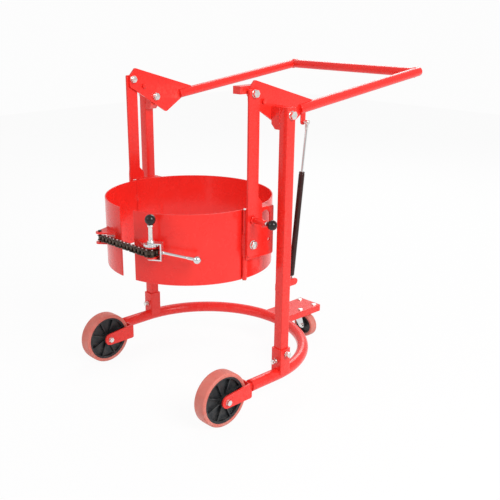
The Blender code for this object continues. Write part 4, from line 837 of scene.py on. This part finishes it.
piece("chainAnchorPin", inSpan([anchorPin], chain["anchor"]), "blackKnob", "right_wing")

sprocket = dict(teeth=6, tip=0.0202, pocket=0.0062, half=0.0055, shaft=0.006, shaftEnds=(-0.0285, 0.0275))
ratchetWheel = dict(teeth=12, radius=0.024, root=0.86, low=0.0208, high=0.0285)


def sprocketOutline(teeth, tip, pocket, **others):
    # r(v) = min(tip, R cos f - sqrt(q^2 - R^2 sin^2 f)), f the angle to the nearest pocket, q its radius
    turn, step = turnsOf(240), 2 * math.pi / teeth
    f = (turn + math.pi / 2 + step / 2) % step - step / 2
    inside = pocket ** 2 - (pitch * np.sin(f)) ** 2
    depth = pitch * np.cos(f) - np.sqrt(np.maximum(inside, 0))
    return arcOf(np.where(inside > 0, np.minimum(depth, tip), tip), turn)


def ratchetOutline(teeth, radius, root, **others):
    # each tooth rises straight from the root to the tip and stays there for a fifth of its step
    turn = turnsOf(288)
    share = (turn * teeth / (2 * math.pi)) % 1
    return arcOf(radius * np.interp(share, [0, 0.2, 0.4, 0.8, 1], [1, 1, root, root, 1]), turn)


winder = [slab(sprocketOutline(**sprocket), -sprocket["half"], sprocket["half"], 0.0006),
          roundBar(sprocket["shaft"], *sprocket["shaftEnds"], 0.0008)]
wheel = slab(ratchetOutline(**ratchetWheel), ratchetWheel["low"], ratchetWheel["high"], 0.0005)
piece("sprocket", inSpan(winder, sprocketPlace), "chainSteel", "chain_winder")
piece("ratchetWheel", inSpan([wheel], sprocketPlace), "zincPlate", "chain_winder")
print("chain closure done")

# Ratchet handle and its lift pin
ratchet = dict(angle=37.5, start=(0.038, 0, 0), ball=(0.15, 0, -0.018), ballRadius=0.0135)
rod = dict(collar=0.0066, radius=0.0045, sleeve=0.0056, sleeveLength=0.034)
liftPin = dict(low=0.0331, high=0.0391, collar=0.0115, radius=0.0075, neck=0.01, ballZ=0.107,
               ballRadius=0.0175)


def inRatchet(shells):
    return inSpan(shells, sprocketPlace, ratchet["angle"])


def rodShell(reach, collar, radius, sleeve, sleeveLength):
    # a collar at the yoke, the rod, and a sleeve that runs into the ball
    seam = reach - sleeveLength
    return spindle([(collar, 0.0005), (collar, 0.0035), (radius, 0.0048), (radius, seam),
                    (sleeve, seam + 0.0022), (sleeve, reach - 0.008)], 0.0009)


def liftPinShell(low, high, collar, radius, neck, ballZ, **others):
    # a collar on the yoke, the pin, and a neck under the ball
    return turned(eased([
        (nearAxis, low - 0.0041), (collar * 0.6, low - 0.0041), (collar * 0.6, low), (collar, low),
        (collar, high), (radius, high), (radius, ballZ - 0.0235), (neck, ballZ - 0.0225),
        (neck, ballZ - 0.0165), (nearAxis, ballZ - 0.015)], 0.0008), 40)


dressed("ratchetYoke", "ratchet_lever", 0.0008, "zincPlate")
rodWay = np.array(ratchet["ball"]) - np.array(ratchet["start"])
handleShells = laid([rodShell(np.linalg.norm(rodWay), **rod)], ratchet["start"], rodWay)
handleShells += moved([ball(ratchet["ballRadius"])], ratchet["ball"])
liftBall = ball(liftPin["ballRadius"], liftPin["ballZ"], 0.55, 30, 48)
piece("ratchetHandle", inRatchet(handleShells), "chrome", "ratchet_lever")
piece("liftPinRod", inRatchet([liftPinShell(**liftPin)]), "boltZinc", "ratchet_release", "lift_pin")
piece("liftPinBall", inRatchet([liftBall]), "blackKnob", "ratchet_release")
print("ratchet handle done")

# Wheels: cast tyre on a ribbed core, turning on a bolt through the fork
frontWheel = dict(
    place=(0.3405, -0.16, 0.0975), way=(1, 0, 0), radius=0.0975, coreRadius=0.0838, halfWidth=0.025,
    crown=0.0006, shoulder=0.0052, rim=0.009, rimStep=0.0022, coreHalf=0.023, hub=0.021, hubHalf=0.0322,
    web=0.01, bore=0.0064, ribs=8, ribWall=0.0052, ribDrop=0.004, around=120)
casterWheel = dict(
    place=(0.034, 0.61, 0.05), way=(0, 1, 0), radius=0.05, coreRadius=0.0378, halfWidth=0.016,
    crown=0.0005, shoulder=0.0036, rim=0.005, rimStep=0.0012, coreHalf=0.015, hub=0.01, hubHalf=0.0172,
    web=0.003, bore=0.0044, ribs=0, ribWall=0.003, ribDrop=0.002, around=96)


def tyreShell(radius, coreRadius, halfWidth, crown, shoulder, around, **others):
    # the tread's radius is R - c (h / w)^2 and its shoulders are quarter ellipses down to the side walls
    flatHalf = halfWidth - shoulder
    h = np.linspace(-flatHalf, flatHalf, 15)
    tread = np.stack([radius - crown * (h / flatHalf) ** 2, h], -1)
    t = np.linspace(0, math.pi / 2, 10)[1:]
    high = np.stack([radius - crown - shoulder * 1.15 * (1 - np.cos(t)), flatHalf + shoulder * np.sin(t)], -1)
    wall = np.array([(coreRadius + 0.0035, halfWidth - 0.0002), (coreRadius + 0.0022, halfWidth - 0.0014),
                     (coreRadius, halfWidth - 0.0016)])
    flip = np.array([1, -1])
    return turned(np.vstack([high[::-1] * flip, tread, high, wall, wall[::-1] * flip]), around, True)


def coreShells(coreRadius, rim, rimStep, coreHalf, hub, hubHalf, web, bore, ribs, ribWall, ribDrop, around,
               **others):
    # rim, web and hub as one turned profile, then straight ribs across the web
    inner, step = coreRadius - rim, coreHalf - rimStep
    half = [(bore, hubHalf), (hub * 0.93, hubHalf), (hub, web), (inner, web), (inner + 0.0006, step),
            (inner + rim * 0.5, step), (inner + rim * 0.55, coreHalf), (coreRadius - 0.0002, coreHalf)]
    shells = [turned(eased(half[::-1] + [(x, -h) for x, h in half], 0.0014, 3, True), around, True)]
    reach = coreHalf - ribDrop
    rib = moved([slab(rectangle((inner - hub) / 2 + 0.0025, ribWall / 2), -reach, reach, 0.0012)],
                ((inner + hub) / 2, 0, 0))
    for k in range(ribs):
        shells += moved(rib, turn=Matrix.Rotation(2 * math.pi * (k + 0.5) / ribs, 4, "Z"))
    return shells


def wheelShells(spec):
    # the tyre and the core, laid on their axle
    place, way = at(*spec["place"]), spec["way"]
    return laid([tyreShell(**spec)], place, way), laid(coreShells(**spec), place, way)


tyre, core = wheelShells(frontWheel)
pieces("frontTyre", tyre, "castTyre", "_wheel")
pieces("frontCore", core, "blackCore", "_wheel")
frontAxle = dict(shank=0.006, length=0.0786, flats=0.018, head=0.0075, nut=0.0075, washer=0.002)
axleStart = np.array(frontWheel["place"]) + np.array([frontAxle["length"] / 2, 0, 0])
boltPair("frontAxle", "frame", axleStart, **frontAxle)
print("front wheels done")

tyre, core = wheelShells(casterWheel)
piece("casterTyre", tyre, "castTyre", "caster_wheel")
piece("casterCore", core, "blackCore", "caster_wheel")
casterAxle = dict(shank=0.004, length=0.0436, flats=0.013, head=0.005, nut=0.006, washer=0.0015,
                  pitch=0.00125)
axleStart = at(*casterWheel["place"]) - np.array([0, casterAxle["length"] / 2, 0])
axleMade = laid(boltShells(**casterAxle), axleStart, casterWheel["way"])
piece("casterAxle", axleMade, "boltZinc", "caster_swivel")
dressed("casterFork", "caster_swivel", 0.0007, "zincPlate")
dressed("casterPlate", "frame", 0.0006, "zincPlate")
deckBolts = dict(x=0.04, y=(0.568, 0.652), seat=0.1281, flats=0.0178, foot=0.0009, head=0.0054, washer=0.0108,
                 washerTop=0.0011)
boltHead = [roundBar(deckBolts["washer"], 0, deckBolts["washerTop"], 0.0003),
            hexagon(deckBolts["flats"], deckBolts["foot"], deckBolts["head"])]
heads = [moved(boltHead, at(x, y, deckBolts["seat"])) for x in (-deckBolts["x"], deckBolts["x"])
         for y in deckBolts["y"]]
piece("deckBoltHeads", sum(heads, []), "boltZinc", "frame")
print("caster done")

# Gas spring: a black cylinder with a crimped end, a bright rod, an eye and a stud at each end
spring = dict(foot=0.018, top=0.38, radius=0.01, rod=0.004, bore=0.0043, boreFoot=0.1985, stem=0.005)
eye = dict(radius=0.008, half=0.006, stud=0.004)
lowerEye, upperEye = at(0.33, 0.183, 0.434), at(0.33, 0.238, 0.975)
springWay = upperEye - lowerEye
springLength = np.linalg.norm(springWay)


def cylinderShell(foot, top, radius, bore, boreFoot, **others):
    # rounded foot, straight wall, crimp below the top, then down the rod's bore
    crimp = radius * 0.93
    return spindle([
        (radius * 0.72, foot - 0.002), (radius, foot + 0.0015), (radius, top - 0.0085), (crimp, top - 0.007),
        (crimp, top - 0.005), (radius, top - 0.0035), (radius * 0.86, top), (bore, top), (bore, boreFoot)],
        0.0007, 48)


def inSpring(shell):
    return laid([shell], lowerEye, springWay)


def eyeShells(place, side, reach, radius, half, stud):
    # a ring, and the stud through it out to its reach
    hole = stud * 0.9
    profile = eased([(hole, -half), (radius, -half), (radius, half), (hole, half)], 0.0009, 3, True)
    shells = [turned(profile, 40, True), roundBar(stud, -half - 0.0012, reach)]
    return laid(shells, place, (side, 0, 0))


# each stud reaches to its solid's own end
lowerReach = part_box("gas_cylinder")[1][0] - lowerEye[0]
upperReach = upperEye[0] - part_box("gas_rod")[0][0]
lowerStem = roundBar(spring["stem"], 0.0045, spring["foot"], 0.0005)
upperStem = roundBar(spring["stem"] + 0.0006, springLength - 0.023, springLength - 0.0045, 0.0007)
springRod = roundBar(spring["rod"], 0.1995, springLength - 0.02)
piece("gasCylinder", inSpring(cylinderShell(**spring)), "cylinderPaint", "spring_cylinder")
lowerMade = inSpring(lowerStem) + eyeShells(lowerEye, 1, lowerReach, **eye)
upperMade = inSpring(upperStem) + eyeShells(upperEye, -1, upperReach, **eye)
piece("gasLowerEye", lowerMade, "boltZinc", "spring_cylinder")
piece("gasRod", inSpring(springRod), "chrome", "spring_rod")
piece("gasUpperEye", upperMade, "boltZinc", "spring_rod")
print("gas spring done")

# Floor, light and camera
stageLook = dict(floorSize=14.0, floorTone=(0.86, 0.86, 0.86, 1), seenWhite=0.93, worldStrength=0.46,
                 backWhite=0.978, glossyShare=0.35)
white = (1, 1, 1, 1)


def freshTree(owner):
    owner.use_nodes = True
    owner.node_tree.nodes.clear()
    return owner.node_tree


def seenMix(tree, output, share, bounced, seen):
    # one shader for light that bounces and another, by its share, for what is seen
    mix = tree.nodes.new("ShaderNodeMixShader")
    for socket, value in zip(mix.inputs, (share, bounced, seen)):
        tree.links.new(value, socket)
    tree.links.new(mix.outputs[0], tree.nodes.new(output).inputs["Surface"])


def finishFloor(material):
    # diffuse ground that keeps the shadow, lifted towards white where the camera or a mirror sees it
    tree = freshTree(material)
    rays = tree.nodes.new("ShaderNodeLightPath").outputs
    seen = mathIn(tree, "MAXIMUM", rays["Is Camera Ray"], rays["Is Glossy Ray"], rays["Is Transmission Ray"])
    seenMix(tree, "ShaderNodeOutputMaterial", mathIn(tree, "MULTIPLY", seen, stageLook["seenWhite"]),
            fed(tree, tree.nodes.new("ShaderNodeBsdfDiffuse"), Color=stageLook["floorTone"])[0],
            fed(tree, tree.nodes.new("ShaderNodeEmission"), Color=white)[0])
    return material


def lightWorld(world):
    # the world lights at a plain level and shows white to the camera, to mirrors and through glass
    tree = freshTree(world)
    rays = tree.nodes.new("ShaderNodeLightPath").outputs
    seen = mathIn(tree, "MAXIMUM", rays["Is Camera Ray"], rays["Is Transmission Ray"])
    glossy = mathIn(tree, "MULTIPLY", rays["Is Glossy Ray"], stageLook["glossyShare"])
    seenMix(tree, "ShaderNodeOutputWorld", mathIn(tree, "MAXIMUM", seen, glossy),
            *(fed(tree, tree.nodes.new("ShaderNodeBackground"), Color=white, Strength=stageLook[key])[0]
              for key in ("worldStrength", "backWhite")))
    bpy.context.scene.world = world


def linked(name, data):
    made = bpy.data.objects.new(name, data)
    bpy.context.scene.collection.objects.link(made)
    return made


lightWorld(bpy.data.worlds.new("studio"))
half = stageLook["floorSize"] / 2
floorCorners = [(x * half, y * half, 0) for x, y in ((-1, -1), (1, -1), (1, 1), (-1, 1))]
floorMesh = bpy.data.meshes.new("floor")
floorMesh.from_pydata(floorCorners, [], [(0, 1, 2, 3)])
floorMesh.materials.append(finishFloor(bpy.data.materials.new("paleFloor")))
linked("floor", floorMesh)

lamps = {"keyLight": dict(place=(3.6, -0.3, 2.9), size=2.4, power=125),
         "frontLight": dict(place=(-0.6, -3.6, 2.6), size=2.6, power=28),
         "rearLight": dict(place=(-1.6, 3.0, 3.0), size=2.6, power=60)}
aim = Vector((0, 0, 0.5))
for name, lamp in lamps.items():
    data = bpy.data.lights.new(name, "AREA")
    data.shape = "DISK"
    data.size = lamp["size"]
    data.energy = lamp["power"]
    made = linked(name, data)
    made.location = lamp["place"]
    made.rotation_euler = (aim - Vector(lamp["place"])).to_track_quat("-Z", "Y").to_euler()

shot = dict(place=(2.0526, -1.99563, 1.3655), right=(0.6594, 0.7517, -0.0067), up=(-0.25, 0.2277, 0.9411),
            back=(0.709, -0.6189, 0.3381), lens=56.0, shift=(0.0882, 0.054))
cameraData = bpy.data.cameras.new("camera")
cameraData.lens = shot["lens"]
cameraData.sensor_width = 36
cameraData.sensor_fit = "HORIZONTAL"
cameraData.shift_x, cameraData.shift_y = shot["shift"]
cameraData.clip_end = 60
camera = linked("camera", cameraData)
turnTo = Matrix((shot["right"], shot["up"], shot["back"])).transposed().to_quaternion().to_matrix().to_4x4()
camera.matrix_world = Matrix.Translation(shot["place"]) @ turnTo
bpy.context.scene.camera = camera
bpy.context.scene.view_settings.view_transform = "Standard"
print("light and camera placed")

bpy.context.view_layer.update()
